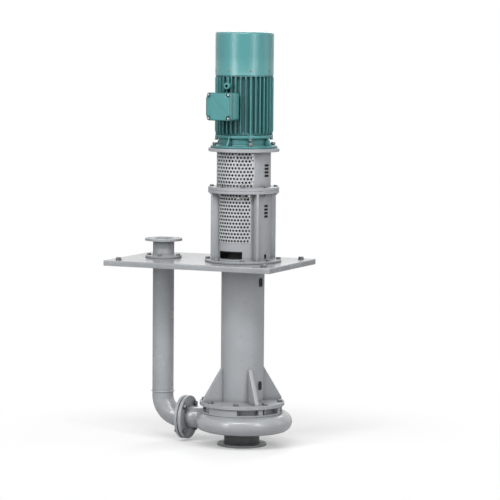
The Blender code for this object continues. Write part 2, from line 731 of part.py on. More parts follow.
def make_volute_casing():
    """The spiral casing with its flat floor, its rim for the cover, and the discharge neck and flange."""
    rim_foot = CASING_SEAT_Z - CASING_RIM_DROP
    casing = turned("volute_casing", [
        (0, CASING_SEAT_Z),
        (CASING_RIM_RADIUS, CASING_SEAT_Z),
        (CASING_RIM_RADIUS, rim_foot),
        (CASING_FLOOR_RADIUS, CASING_FLOOR_Z),
        (0, CASING_FLOOR_Z),
    ])
    spiral, neck = volute_shape(
        "casing_wall", VOLUTE_START_RADIUS, VOLUTE_END_RADIUS, NECK_RADIUS, NECK_END_X - NECK_FLANGE_THICK / 2,
        VOLUTE_SIDES,
    )
    flange = disc(
        "neck_flange", LINE_FLANGE_RADIUS, 0, NECK_FLANGE_THICK, matrix=along_minus_x(NECK_END_X, VOLUTE_Z)
    )
    settle(join(casing, spiral, neck, flange))
    seat = disc("cover_seat", CASING_RIM_RADIUS + RUNNING_GAP, CASING_SEAT_Z, COVER_TOP_Z)
    chamber = disc("impeller_chamber", CHAMBER_RADIUS, SPIGOT_TOP_Z, COVER_TOP_Z)
    eye = disc("casing_eye", SUCTION_SPIGOT_RADIUS + SEAT_GAP, CASING_FLOOR_Z - THROUGH, VOLUTE_Z)
    spiral_bore, neck_bore = volute_shape(
        "passage", PASSAGE_START_RADIUS, PASSAGE_END_RADIUS, NECK_BORE_RADIUS,
        NECK_END_X - NECK_FLANGE_THICK - THROUGH, PASSAGE_SIDES,
    )
    studs = ring_of_holes(
        "casing_stud_holes", CASING_BOLT_CIRCLE, CASING_BOLTS, CASING_BOLT_START,
        BOLT_HOLE_RADIUS, CASING_SEAT_Z - CASING_BOLT_ENGAGED - SEAT_GAP, COVER_TOP_Z,
    )
    line_holes = ring_of_holes(
        "neck_flange_holes", LINE_BOLT_CIRCLE, LINE_BOLTS, LINE_BOLT_START, BOLT_HOLE_RADIUS,
        -RUNNING_GAP, NECK_FLANGE_THICK + THROUGH, along_minus_x(NECK_END_X, VOLUTE_Z),
    )
    hollow = settle(join(spiral_bore, neck_bore))
    settle(cut(casing, hollow, chamber))
    cut(casing, seat, eye, studs, line_holes)
    return part(casing, MATERIALS["grey_paint"])


def make_casing_cover():
    """The cover over the impeller: a spigot in the casing, a drum with windows, and the shaft seal's seat."""
    plate_top = COVER_SEAT_Z + COVER_PLATE_THICK
    seal_foot = plate_top - SEAL_LIP_TALL / 2
    shaft_bore = bore_for(SHAFT_RADIUS, WIDE_STEPS)
    cover = turned("casing_cover", [
        (CASING_RIM_RADIUS - RUNNING_GAP, COVER_TOP_Z),
        (CASING_RIM_RADIUS - RUNNING_GAP, COVER_SEAT_Z),
        (CHAMBER_RADIUS - SEAT_GAP, COVER_SEAT_Z),
        (CHAMBER_RADIUS - SEAT_GAP, COVER_SPIGOT_Z),
        (shaft_bore, COVER_SPIGOT_Z),
        (shaft_bore, seal_foot),
        (COVER_BORE_RADIUS, seal_foot),
        (COVER_BORE_RADIUS, COVER_TOP_Z),
    ], ring=True)
    tools = []
    pad_end = COVER_PAD_START + COVER_PAD_WIDTH
    for i in range(COVER_WINDOWS):
        start = pad_end + i * (COVER_WINDOW_WIDTH + COVER_POST_WIDTH)
        tools.append(sector(
            f"cover_window_{i + 1}", COVER_DRUM_RADIUS, CASING_RIM_RADIUS + THROUGH, plate_top,
            COLUMN_FLANGE_Z - plate_top + THROUGH, start, COVER_WINDOW_WIDTH, 3,
        ))
    last = start + COVER_WINDOW_WIDTH
    tools.append(sector(
        "cover_pad_step", CASING_RIM_RADIUS - COVER_PAD_STEP, CASING_RIM_RADIUS + THROUGH, plate_top,
        COLUMN_FLANGE_Z - plate_top + THROUGH, last, COVER_PAD_START + 2 * math.pi - last, 4,
    ))
    tools.append(ring_of_holes(
        "cover_stud_holes", CASING_BOLT_CIRCLE, CASING_BOLTS, CASING_BOLT_START,
        BOLT_HOLE_RADIUS, COVER_SEAT_Z - THROUGH, COLUMN_FLANGE_Z + THROUGH,
    ))
    return part(cut(cover, *tools), MATERIALS["grey_paint"])


def make_shaft_seal():
    """The lip seal in the cover's bore and the gland ring that holds it down inside the column."""
    foot = COVER_SEAT_Z + COVER_PLATE_THICK - SEAL_LIP_TALL / 2 + SEAT_GAP
    lip = bore_for(SHAFT_RADIUS, MID_STEPS, SEAT_GAP)
    seal = tube("shaft_seal", COVER_BORE_RADIUS - SEAT_GAP, lip, foot, COVER_TOP_Z, MID_STEPS)
    part(seal, MATERIALS["rubber"])
    gland = tube(
        "seal_gland", GLAND_RADIUS, bore_for(SHAFT_RADIUS, MID_STEPS),
        COVER_TOP_Z + SEAT_GAP, COVER_TOP_Z + SEAT_GAP + GLAND_TALL, MID_STEPS,
    )
    part(gland, MATERIALS["dark_iron"])


def make_column():
    """The column pipe with its flange, the four gussets that stiffen it and its two relief slots."""
    column = turned("column_pipe", [
        (COLUMN_RADIUS, PLATE_TOP_Z),
        (COLUMN_RADIUS, COLUMN_FLANGE_TOP_Z),
        (COLUMN_FLANGE_RADIUS, COLUMN_FLANGE_TOP_Z),
        (COLUMN_FLANGE_RADIUS, COLUMN_FLANGE_Z),
        (COLUMN_RADIUS - COLUMN_WALL, COLUMN_FLANGE_Z),
        (COLUMN_RADIUS - COLUMN_WALL, PLATE_TOP_Z),
    ], ring=True)
    inner = COLUMN_RADIUS - COLUMN_WALL / 2
    reach = COLUMN_FLANGE_RADIUS - GUSSET_INSET
    outline = [
        (inner, -THROUGH),
        (reach, -THROUGH),
        (reach, GUSSET_LIP),
        (COLUMN_RADIUS + GUSSET_TOP_WIDE, GUSSET_TALL),
        (inner, GUSSET_TALL),
    ]
    upright = Matrix.Rotation(math.pi / 2, 4, "X")
    for i in range(GUSSETS):
        angle = GUSSET_START + 2 * math.pi * i / GUSSETS
        frame = spin(angle) @ shift(0, GUSSET_THICK / 2, COLUMN_FLANGE_TOP_Z) @ upright
        join(column, flat(f"gusset_{i + 1}", [outline], GUSSET_THICK, frame))
    slot = rounded_rectangle(SLOT_WIDE, SLOT_TALL, SLOT_WIDE / 2 - SEAT_GAP, 3)
    for i, height in enumerate((COLUMN_FLANGE_TOP_Z + LOWER_SLOT_LIFT, PLATE_TOP_Z - UPPER_SLOT_DROP)):
        frame = facing(SLOT_ANGLE, COLUMN_RADIUS - COLUMN_WALL - THROUGH, height)
        cut(column, flat(f"column_slot_{i + 1}", [slot], COLUMN_WALL + 3 * THROUGH, frame))
    holes = ring_of_holes(
        "column_flange_holes", CASING_BOLT_CIRCLE, CASING_BOLTS, CASING_BOLT_START,
        BOLT_HOLE_RADIUS, COLUMN_FLANGE_Z - THROUGH, COLUMN_FLANGE_TOP_Z + THROUGH,
    )
    return part(cut(column, holes), MATERIALS["grey_paint"])


def make_casing_bolts():
    """The long bolts from the column flange through the cover into the casing's rim."""
    grip = COLUMN_FLANGE_TOP_Z - CASING_SEAT_Z
    mesh = bolt_mesh("casing_bolt", grip, reach=CASING_BOLT_ENGAGED)
    place_bolts(
        "casing_bolt", mesh, shift(0, 0, COLUMN_FLANGE_TOP_Z), CASING_BOLT_CIRCLE, CASING_BOLTS,
        CASING_BOLT_START,
    )


def make_base_plate():
    """The sole plate, with its holes for the column, the riser and four holding-down bolts."""
    half = PLATE_WIDE / 2
    outline = [
        (PLATE_LEFT_X, -half), (PLATE_RIGHT_X, -half), (PLATE_RIGHT_X, half), (PLATE_LEFT_X, half),
    ]
    loops = [
        outline,
        circle(COLUMN_RADIUS + SEAT_GAP, WIDE_STEPS),
        circle(PIPE_RADIUS + SEAT_GAP, PIPE_STEPS, (RISER_X, 0)),
    ]
    for x in (PLATE_LEFT_X + PLATE_BOLT_INSET, PLATE_RIGHT_X - PLATE_BOLT_INSET):
        for y in (-half + PLATE_BOLT_INSET, half - PLATE_BOLT_INSET):
            loops.append(circle(FLANGE_HOLE_RADIUS, BOLT_STEPS, (x, y)))
    return part(flat("base_plate", loops, PLATE_THICK, shift(0, 0, PLATE_FOOT_Z)), MATERIALS["pale_plate"])


def make_discharge_line():
    """Gasket, flanged elbow, riser pipe, its top flange and the collar on the sole plate."""
    gasket = tube(
        "flange_gasket", LINE_BOLT_CIRCLE - BOLT_HOLE_RADIUS - RUNNING_GAP, NECK_BORE_RADIUS, 0, GASKET_THICK,
        MID_STEPS, along_minus_x(GASKET_X, VOLUTE_Z),
    )
    part(gasket, MATERIALS["rubber"])

    bend_z = VOLUTE_Z + ELBOW_BEND_RADIUS
    quarter = [
        (ELBOW_BEND_X - ELBOW_BEND_RADIUS * math.sin(a), 0.0, bend_z - ELBOW_BEND_RADIUS * math.cos(a))
        for a in (math.pi / 2 * i / ELBOW_STEPS for i in range(ELBOW_STEPS + 1))
    ]
    face = along_minus_x(ELBOW_X, VOLUTE_Z)
    elbow = disc("discharge_elbow", LINE_FLANGE_RADIUS, 0, ELBOW_FLANGE_THICK, matrix=face)
    inside = (ELBOW_X - ELBOW_FLANGE_THICK / 2, 0.0, VOLUTE_Z)
    path = [inside] + quarter + [(RISER_X, 0.0, ELBOW_TOP_Z)]
    join(elbow, swept("elbow_wall", path, [PIPE_RADIUS] * len(path), PIPE_STEPS))
    before = (ELBOW_X + THROUGH, 0.0, VOLUTE_Z)
    beyond = (RISER_X, 0.0, ELBOW_TOP_Z + THROUGH)
    path = [before] + quarter + [beyond]
    cut(elbow, swept("elbow_bore", path, [PIPE_RADIUS - PIPE_WALL] * len(path), PIPE_STEPS))
    cut(elbow, ring_of_holes(
        "elbow_flange_holes", LINE_BOLT_CIRCLE, LINE_BOLTS, LINE_BOLT_START, BOLT_HOLE_RADIUS,
        -THROUGH, ELBOW_FLANGE_THICK + RUNNING_GAP, face,
    ))
    part(elbow, MATERIALS["grey_paint"])

    centre = shift(RISER_X, 0, 0)
    riser = tube(
        "discharge_riser", PIPE_RADIUS, PIPE_RADIUS - PIPE_WALL, ELBOW_TOP_Z + SEAT_GAP, RISER_TOP_Z,
        PIPE_STEPS, centre,
    )
    part(riser, MATERIALS["grey_paint"])
    flange = tube(
        "riser_flange", RISER_FLANGE_RADIUS, PIPE_RADIUS + SEAT_GAP, RISER_TOP_Z - RISER_FLANGE_THICK,
        RISER_TOP_Z, PIPE_STEPS, centre,
    )
    holes = ring_of_holes(
        "riser_flange_holes", RISER_BOLT_CIRCLE, RISER_BOLTS, math.pi / RISER_BOLTS, FLANGE_HOLE_RADIUS,
        RISER_TOP_Z - RISER_FLANGE_THICK - THROUGH, RISER_TOP_Z + THROUGH, centre, OPEN_HOLE_STEPS,
    )
    part(cut(flange, holes), MATERIALS["grey_paint"])
    collar = tube(
        "riser_collar", COLLAR_RADIUS, PIPE_RADIUS + SEAT_GAP, PLATE_TOP_Z + SEAT_GAP,
        PLATE_TOP_Z + SEAT_GAP + COLLAR_THICK, PIPE_STEPS, centre,
    )
    part(collar, MATERIALS["grey_paint"])

    grip = NECK_FLANGE_THICK + GASKET_THICK + ELBOW_FLANGE_THICK + 2 * SEAT_GAP
    mesh = bolt_mesh("line_bolt", grip, nut=True)
    frame = shift(NECK_END_X, 0, VOLUTE_Z) @ Matrix.Rotation(math.pi / 2, 4, "Y")
    place_bolts("line_bolt", mesh, frame, LINE_BOLT_CIRCLE, LINE_BOLTS, LINE_BOLT_START)


def vent_cutters(name, middle):
    """The small group of vent holes through one side of a lantern."""
    tools = []
    inner = LANTERN_RADIUS - LANTERN_WALL - THROUGH
    for column in range(VENT_COLUMNS):
        angle = SLOT_ANGLE + (column - (VENT_COLUMNS - 1) / 2) * VENT_PITCH / LANTERN_RADIUS
        for row in range(VENT_ROWS):
            frame = facing(angle, inner, middle + (row - (VENT_ROWS - 1) / 2) * VENT_PITCH)
            deep = LANTERN_WALL + 2 * THROUGH
            tools.append(disc(f"{name}_{column}_{row}", VENT_RADIUS, 0, deep, BOLT_STEPS, frame))
    return tools


def guard_window(name, angle, width, foot, top):
    """The window behind a guard, smaller than the guard all round."""
    inner = LANTERN_RADIUS - LANTERN_WALL - THROUGH
    return sector(
        name, inner, LANTERN_RADIUS + THROUGH / 2, foot, top - foot, angle - width / 2 + GUARD_LAP,
        width - 2 * GUARD_LAP, 6,
    )


def make_guard(name, angle, width, foot, top):
    """A curved guard sheet on the outside of a lantern."""
    inner = LANTERN_RADIUS + SEAT_GAP
    sheet = sector(name, inner, inner + GUARD_THICK, foot, top - foot, angle - width / 2, width, 16)
    return part(sheet, MATERIALS["grey_paint"])


def make_lower_lantern():
    """Base ring, windowed tube, four posts and the lower of the two middle flanges."""
    ring_top = LANTERN_FOOT_Z + RING_THICK
    flange_foot = MID_JOINT_Z - MID_FLANGE_THICK
    inner = LANTERN_RADIUS - LANTERN_WALL
    lantern = turned("lower_lantern", [
        (MID_FLANGE_RADIUS, MID_JOINT_Z),
        (MID_FLANGE_RADIUS, flange_foot),
        (LANTERN_RADIUS, flange_foot),
        (LANTERN_RADIUS, ring_top),
        (RING_RADIUS, ring_top),
        (RING_RADIUS, LANTERN_FOOT_Z),
        (RING_BORE_RADIUS, LANTERN_FOOT_Z),
        (RING_BORE_RADIUS, ring_top),
        (inner, ring_top),
        (inner, MID_JOINT_Z),
    ], ring=True)
    height = flange_foot - ring_top + 2 * THROUGH
    root = LANTERN_RADIUS - LANTERN_WALL / 2
    reach = MID_FLANGE_RADIUS - POST_INSET
    half = POST_THICK / 2
    post = [(root, -half), (reach, -half), (reach, half), (root, half)]
    for i in range(POSTS):
        frame = spin(POST_START + 2 * math.pi * i / POSTS) @ shift(0, 0, ring_top - THROUGH)
        join(lantern, flat(f"post_{i + 1}", [post], height, frame))
    guard_foot = ring_top + LOWER_GUARD_FOOT
    guard_top = flange_foot - SEAT_GAP
    tools = [
        guard_window(
            f"lower_window_{i + 1}", angle, LOWER_GUARD_WIDTH, guard_foot + GUARD_SEAT, guard_top - GUARD_EDGE
        )
        for i, angle in enumerate((LOWER_GUARD_ANGLE, LOWER_GUARD_ANGLE + math.pi))
    ]
    for i, start in enumerate((HATCH_START, -HATCH_START - HATCH_WIDTH)):
        tools.append(sector(
            f"hatch_{i + 1}", inner - THROUGH, LANTERN_RADIUS + THROUGH / 2, ring_top + HATCH_LIFT,
            HATCH_TALL, start, HATCH_WIDTH, 4,
        ))
    part(cut(lantern, *tools, *vent_cutters("lower_vent", LOWER_VENT_Z)), MATERIALS["grey_paint"])
    make_guard("lower_front_guard", LOWER_GUARD_ANGLE, LOWER_GUARD_WIDTH, guard_foot, guard_top)
    make_guard("lower_rear_guard", LOWER_GUARD_ANGLE + math.pi, LOWER_GUARD_WIDTH, guard_foot, guard_top)


def make_upper_lantern():
    """The upper of the two middle flanges, the windowed tube and the plate that carries the motor."""
    flange_top = UPPER_FOOT_Z + MID_FLANGE_THICK
    plate_foot = MOTOR_SEAT_Z - MOTOR_PLATE_THICK
    inner = LANTERN_RADIUS - LANTERN_WALL
    lantern = turned("upper_lantern", [
        (MID_FLANGE_RADIUS, MOTOR_SEAT_Z),
        (MID_FLANGE_RADIUS, plate_foot),
        (LANTERN_RADIUS, plate_foot),
        (LANTERN_RADIUS, flange_top),
        (MID_FLANGE_RADIUS, flange_top),
        (MID_FLANGE_RADIUS, UPPER_FOOT_Z),
        (inner, UPPER_FOOT_Z),
        (inner, plate_foot),
        (MOTOR_SPIGOT_RADIUS, plate_foot),
        (MOTOR_SPIGOT_RADIUS, MOTOR_SEAT_Z),
    ], ring=True)
    guard_foot = flange_top + SEAT_GAP
    guard_top = plate_foot - SEAT_GAP
    tools = [
        guard_window(
            f"upper_window_{i + 1}", angle, UPPER_GUARD_WIDTH, guard_foot + GUARD_SEAT, guard_top - GUARD_SEAT
        )
        for i, angle in enumerate((UPPER_GUARD_ANGLE, UPPER_GUARD_ANGLE + math.pi))
    ]
    part(cut(lantern, *tools, *vent_cutters("upper_vent", UPPER_VENT_Z)), MATERIALS["grey_paint"])
    make_guard("upper_front_guard", UPPER_GUARD_ANGLE, UPPER_GUARD_WIDTH, guard_foot, guard_top)
    make_guard("upper_rear_guard", UPPER_GUARD_ANGLE + math.pi, UPPER_GUARD_WIDTH, guard_foot, guard_top)


def make_bearing_housing():
    """The bearing cartridge on the sole plate, its two covers and the outer races."""
    bore = BEARING_RADIUS + SEAT_GAP
    lower_shoulder = LOWER_BEARING_Z + BEARING_TALL + SEAT_GAP
    upper_shoulder = UPPER_BEARING_Z - SEAT_GAP
    head_foot = HOUSING_TOP_Z - HOUSING_HEAD_THICK
    flange_top = HOUSING_FOOT_Z + HOUSING_FLANGE_THICK
    housing = turned("bearing_housing", [
        (HOUSING_HEAD_RADIUS, HOUSING_TOP_Z),
        (HOUSING_HEAD_RADIUS, head_foot),
        (HOUSING_RADIUS, head_foot - HOUSING_HEAD_THICK),
        (HOUSING_RADIUS, flange_top + HOUSING_FLANGE_THICK),
        (HOUSING_RADIUS + HOUSING_FLANGE_THICK / 2, flange_top),
        (HOUSING_FLANGE_RADIUS, flange_top),
        (HOUSING_FLANGE_RADIUS, HOUSING_FOOT_Z),
        (bore, HOUSING_FOOT_Z),
        (bore, lower_shoulder),
        (HOUSING_MID_BORE, lower_shoulder),
        (HOUSING_MID_BORE, upper_shoulder),
        (bore, upper_shoulder),
        (bore, HOUSING_TOP_Z),
    ], MID_STEPS, ring=True)
    part(housing, MATERIALS["grey_paint"])

    spigot = BEARING_RADIUS - SEAT_GAP
    seat = HOUSING_FOOT_Z - SEAT_GAP
    shaft_bore = bore_for(SHAFT_RADIUS, MID_STEPS)
    lower = turned("lower_bearing_cover", [
        (spigot, LOWER_BEARING_Z - SEAT_GAP),
        (spigot, seat),
        (HOUSING_RADIUS, seat),
        (HOUSING_RADIUS, seat - BEARING_COVER_THICK),
        (shaft_bore, seat - BEARING_COVER_THICK),
        (shaft_bore, LOWER_BEARING_Z - SEAT_GAP),
    ], MID_STEPS, ring=True)
    part(lower, MATERIALS["grey_paint"])
    bearing_top = UPPER_BEARING_Z + BEARING_TALL + SEAT_GAP
    nut_top = bearing_top + LOCKNUT_TALL
    seat = HOUSING_TOP_Z + SEAT_GAP
    nut_bore = bore_for(LOCKNUT_RADIUS, MID_STEPS)
    shaft_bore = bore_for(SHAFT_TOP_RADIUS, MID_STEPS)
    upper = turned("upper_bearing_cover", [
        (HOUSING_HEAD_RADIUS, BEARING_COVER_Z),
        (HOUSING_HEAD_RADIUS, seat),
        (spigot, seat),
        (spigot, bearing_top),
        (nut_bore, bearing_top),
        (nut_bore, nut_top + RUNNING_GAP),
        (shaft_bore, nut_top + RUNNING_GAP),
        (shaft_bore, BEARING_COVER_Z),
    ], MID_STEPS, ring=True)
    part(upper, MATERIALS["grey_paint"])

    for name, foot in (("lower", LOWER_BEARING_Z), ("upper", UPPER_BEARING_Z)):
        outer = tube(
            f"{name}_bearing_outer_race", BEARING_RADIUS, BEARING_RADIUS - BEARING_RACE,
            foot, foot + BEARING_TALL, MID_STEPS,
        )
        part(outer, MATERIALS["steel"])


def make_pump_rotor(axis):
    """The pump shaft and everything that turns with it, below the coupling's rubber spider and with it."""
    inner_seat = BEARING_SEAT_RADIUS + SEAT_GAP
    inner_edge = inner_seat + BEARING_RACE
    roller_tip = (BEARING_RADIUS - BEARING_RACE) * math.cos(math.pi / MID_STEPS) - SEAT_GAP
    shoulder = LOWER_BEARING_Z - SEAT_GAP
    nut_foot = UPPER_BEARING_Z + BEARING_TALL + SEAT_GAP
    nut_top = nut_foot + LOCKNUT_TALL
    spider_foot = SPIDER_Z - SPIDER_THICK / 2
    shaft_top = spider_foot - 3 * RUNNING_GAP
    hub_top = IMPELLER_TOP_Z + SEAT_GAP
    shaft = turned("pump_shaft", [
        (0, shaft_top),
        (SHAFT_TOP_RADIUS, shaft_top),
        (SHAFT_TOP_RADIUS, nut_top),
        (BEARING_SEAT_RADIUS, nut_top),
        (BEARING_SEAT_RADIUS, shoulder),
        (SHAFT_RADIUS, shoulder),
        (SHAFT_RADIUS, hub_top),
        (SHAFT_FOOT_RADIUS, hub_top),
        (SHAFT_FOOT_RADIUS, SHAFT_FOOT_Z),
        (0, SHAFT_FOOT_Z),
    ], MID_STEPS)
    part(shaft, MATERIALS["steel"], axis)
    for name, foot in (("lower", LOWER_BEARING_Z), ("upper", UPPER_BEARING_Z)):
        top = foot + BEARING_TALL
        race = tube(f"{name}_bearing_inner_race", inner_edge, inner_seat, foot, top, MID_STEPS)
        part(race, MATERIALS["steel"], axis)
        rollers = tube(
            f"{name}_bearing_rollers", roller_tip, inner_edge + SEAT_GAP, foot + 2 * RUNNING_GAP,
            top - 2 * RUNNING_GAP, MID_STEPS,
        )
        part(rollers, MATERIALS["steel"], axis)
    nut = tube("bearing_locknut", LOCKNUT_RADIUS, inner_seat, nut_foot, nut_top, MID_STEPS)
    part(nut, MATERIALS["steel"], axis)

    hub_foot = BEARING_COVER_Z + COUPLING_FOOT_ROOM
    face = spider_foot - SEAT_GAP
    half = coupling_half("pump_coupling_half", SHAFT_TOP_RADIUS + SEAT_GAP, hub_foot, face, 1, 0.0)
    part(half, MATERIALS["dark_iron"], axis)

    spider = disc("coupling_spider", SPIDER_CORE_RADIUS, spider_foot, spider_foot + SPIDER_THICK, MID_STEPS)
    gap_width = math.pi / JAWS - JAW_WIDTH
    leg = gap_width - 4 * SEAT_GAP / COUPLING_FLANGE_RADIUS
    for i in range(2 * JAWS):
        start = JAW_WIDTH / 2 + gap_width / 2 + math.pi * i / JAWS - leg / 2
        join(spider, sector(
            f"spider_leg_{i + 1}", SPIDER_CORE_RADIUS / 2, COUPLING_FLANGE_RADIUS, spider_foot, SPIDER_THICK,
            start, leg, 2,
        ))
    part(spider, MATERIALS["spider_rubber"], axis)
    make_impeller(axis)


def coupling_half(name, bore, hub_end, face, direction, first_jaw):
    """One half of the jaw coupling: a hub, a flange and three jaws standing on its face."""
    flange_back = face - direction * COUPLING_FLANGE_THICK
    rows = [
        (COUPLING_FLANGE_RADIUS, face),
        (COUPLING_FLANGE_RADIUS, flange_back),
        (COUPLING_HUB_RADIUS, flange_back),
        (COUPLING_HUB_RADIUS, hub_end),
        (bore, hub_end),
        (bore, face),
    ]
    if direction < 0:
        rows = [rows[i] for i in (3, 2, 1, 0, 5, 4)]
    half = turned(name, rows, MID_STEPS, ring=True)
    sunk = 2 * RUNNING_GAP
    jaw_tall = SPIDER_THICK + SEAT_GAP
    foot = face - sunk if direction > 0 else face - jaw_tall + SEAT_GAP
    for i in range(JAWS):
        start = first_jaw + 2 * math.pi * i / JAWS - JAW_WIDTH / 2
        join(half, sector(
            f"{name}_jaw_{i + 1}", JAW_INNER_RADIUS, COUPLING_FLANGE_RADIUS, foot,
            jaw_tall + sunk - SEAT_GAP, start, JAW_WIDTH, 5,
        ))
    return half


def vane_outline():
    """One backward-curved vane, from the hub out to the rim, as a closed band of even thickness."""
    near, far = [], []
    for i in range(VANE_STEPS + 1):
        t = i / VANE_STEPS
        reach = IMPELLER_VANE_START + (IMPELLER_RADIUS - RUNNING_GAP - IMPELLER_VANE_START) * t
        angle = -IMPELLER_VANE_WRAP * t
        half = IMPELLER_VANE_THICK / 2
        lean = math.atan2(IMPELLER_VANE_WRAP * reach, IMPELLER_RADIUS - IMPELLER_VANE_START)
        middle = Vector((reach * math.cos(angle), reach * math.sin(angle)))
        across = Vector((math.sin(angle - lean), -math.cos(angle - lean))) * half
        near.append(tuple(middle + across))
        far.append(tuple(middle - across))
    return near + far[::-1]


def make_impeller(axis):
    """The open impeller: a back shroud, a hub with a closed nose and five curved vanes under the shroud."""
    shroud_foot = IMPELLER_TOP_Z - IMPELLER_SHROUD_THICK
    bore = SHAFT_FOOT_RADIUS + SEAT_GAP
    bore_end = SHAFT_FOOT_Z - SEAT_GAP
    impeller = turned("impeller", [
        (0, bore_end),
        (bore, bore_end),
        (bore, IMPELLER_TOP_Z),
        (IMPELLER_RADIUS, IMPELLER_TOP_Z),
        (IMPELLER_RADIUS, shroud_foot),
        (IMPELLER_HUB_RADIUS + IMPELLER_SHROUD_THICK, shroud_foot),
        (IMPELLER_HUB_RADIUS, shroud_foot - IMPELLER_SHROUD_THICK),
        (IMPELLER_HUB_RADIUS, SHAFT_FOOT_Z),
        (IMPELLER_HUB_RADIUS / 2, IMPELLER_NOSE_Z),
        (0, IMPELLER_NOSE_Z),
    ], MID_STEPS)
    outline = vane_outline()
    tall = shroud_foot - IMPELLER_VANE_FOOT_Z + IMPELLER_SHROUD_THICK / 2
    for i in range(IMPELLER_VANES):
        frame = spin(2 * math.pi * i / IMPELLER_VANES) @ shift(0, 0, IMPELLER_VANE_FOOT_Z)
        join(impeller, flat(f"vane_{i + 1}", [outline], tall, frame))
    part(impeller, MATERIALS["dark_iron"], axis)


def make_drive_endshield():
    """The motor's flange and lower endshield, with its cone, ribs and the band that the frame sits on."""
    flange_top = MOTOR_FACE_Z + MOTOR_FLANGE_THICK
    top = MOTOR_FACE_Z + ENDSHIELD_TALL
    band_foot = top - ENDSHIELD_BAND_TALL
    spigot_foot = MOTOR_FACE_Z - MOTOR_SPIGOT_TALL
    bearing_top = flange_top + MOTOR_BEARING_TALL
    shaft_bore = bore_for(MOTOR_SHAFT_RADIUS, WIDE_STEPS)
    shield = turned("drive_endshield", [
        (ENDSHIELD_BAND_RADIUS, top),
        (ENDSHIELD_BAND_RADIUS, band_foot),
        (ENDSHIELD_CONE_RADIUS + 2 * SEAT_GAP, band_foot - ENDSHIELD_BAND_FLARE),
        (ENDSHIELD_CONE_RADIUS, flange_top),
        (MOTOR_FLANGE_RADIUS, flange_top),
        (MOTOR_FLANGE_RADIUS, MOTOR_FACE_Z),
        (MOTOR_SPIGOT_RADIUS - SEAT_GAP, MOTOR_FACE_Z),
        (MOTOR_SPIGOT_RADIUS - SEAT_GAP, spigot_foot),
        (shaft_bore, spigot_foot),
        (shaft_bore, flange_top),
        (DRIVE_BEARING_RADIUS, flange_top),
        (DRIVE_BEARING_RADIUS, bearing_top),
        (ENDSHIELD_CONE_RADIUS - ENDSHIELD_WALL - 2 * THROUGH, bearing_top + THROUGH),
        (ENDSHIELD_CONE_RADIUS - ENDSHIELD_WALL - THROUGH, top),
    ], ring=True)
    upright = Matrix.Rotation(math.pi / 2, 4, "X")
    rib_reach = MOTOR_FLANGE_RADIUS - ENDSHIELD_RIB_INSET
    loop = [
        (ENDSHIELD_CONE_RADIUS - THROUGH, flange_top - THROUGH),
        (rib_reach, flange_top - THROUGH),
        (rib_reach, flange_top + SEAT_GAP),
        (ENDSHIELD_BAND_RADIUS - RUNNING_GAP, band_foot + THROUGH),
        (ENDSHIELD_CONE_RADIUS - THROUGH, band_foot + THROUGH),
    ]
    for i in range(ENDSHIELD_RIBS):
        angle = MOTOR_TURN + 2 * math.pi * i / ENDSHIELD_RIBS
        frame = spin(angle) @ shift(0, ENDSHIELD_RIB_THICK / 2, 0) @ upright
        join(shield, flat(f"endshield_rib_{i + 1}", [loop], ENDSHIELD_RIB_THICK, frame))
    part(shield, MATERIALS["teal_paint"])
    bearing = tube(
        "drive_bearing", DRIVE_BEARING_RADIUS - SEAT_GAP, bore_for(MOTOR_SHAFT_RADIUS, MID_STEPS, SEAT_GAP),
        flange_top + SEAT_GAP, bearing_top, MID_STEPS,
    )
    part(bearing, MATERIALS["steel"])


def frame_outline():
    """The finned outline of the motor frame: straight fins, with a thicker one at each tie-bolt lug."""
    points = []
    first_lug = MOTOR_TURN + math.pi / 4
    for i in range(FINS):
        angle = first_lug + 2 * math.pi * i / FINS
        half = (LUG_RIB_THICK if i % LUG_RIB_EVERY == 0 else FIN_THICK) / 2
        root = FIN_ROOT_SHARE * half / FRAME_ROOT_RADIUS
        tip = FIN_TIP_SHARE * half / FIN_TIP_RADIUS
        for reach, turn in (
            (FRAME_ROOT_RADIUS, -root),
            (FIN_TIP_RADIUS, -tip),
            (FIN_TIP_RADIUS, tip),
            (FRAME_ROOT_RADIUS, root),
        ):
            points.append((reach * math.cos(angle + turn), reach * math.sin(angle + turn)))
    return points


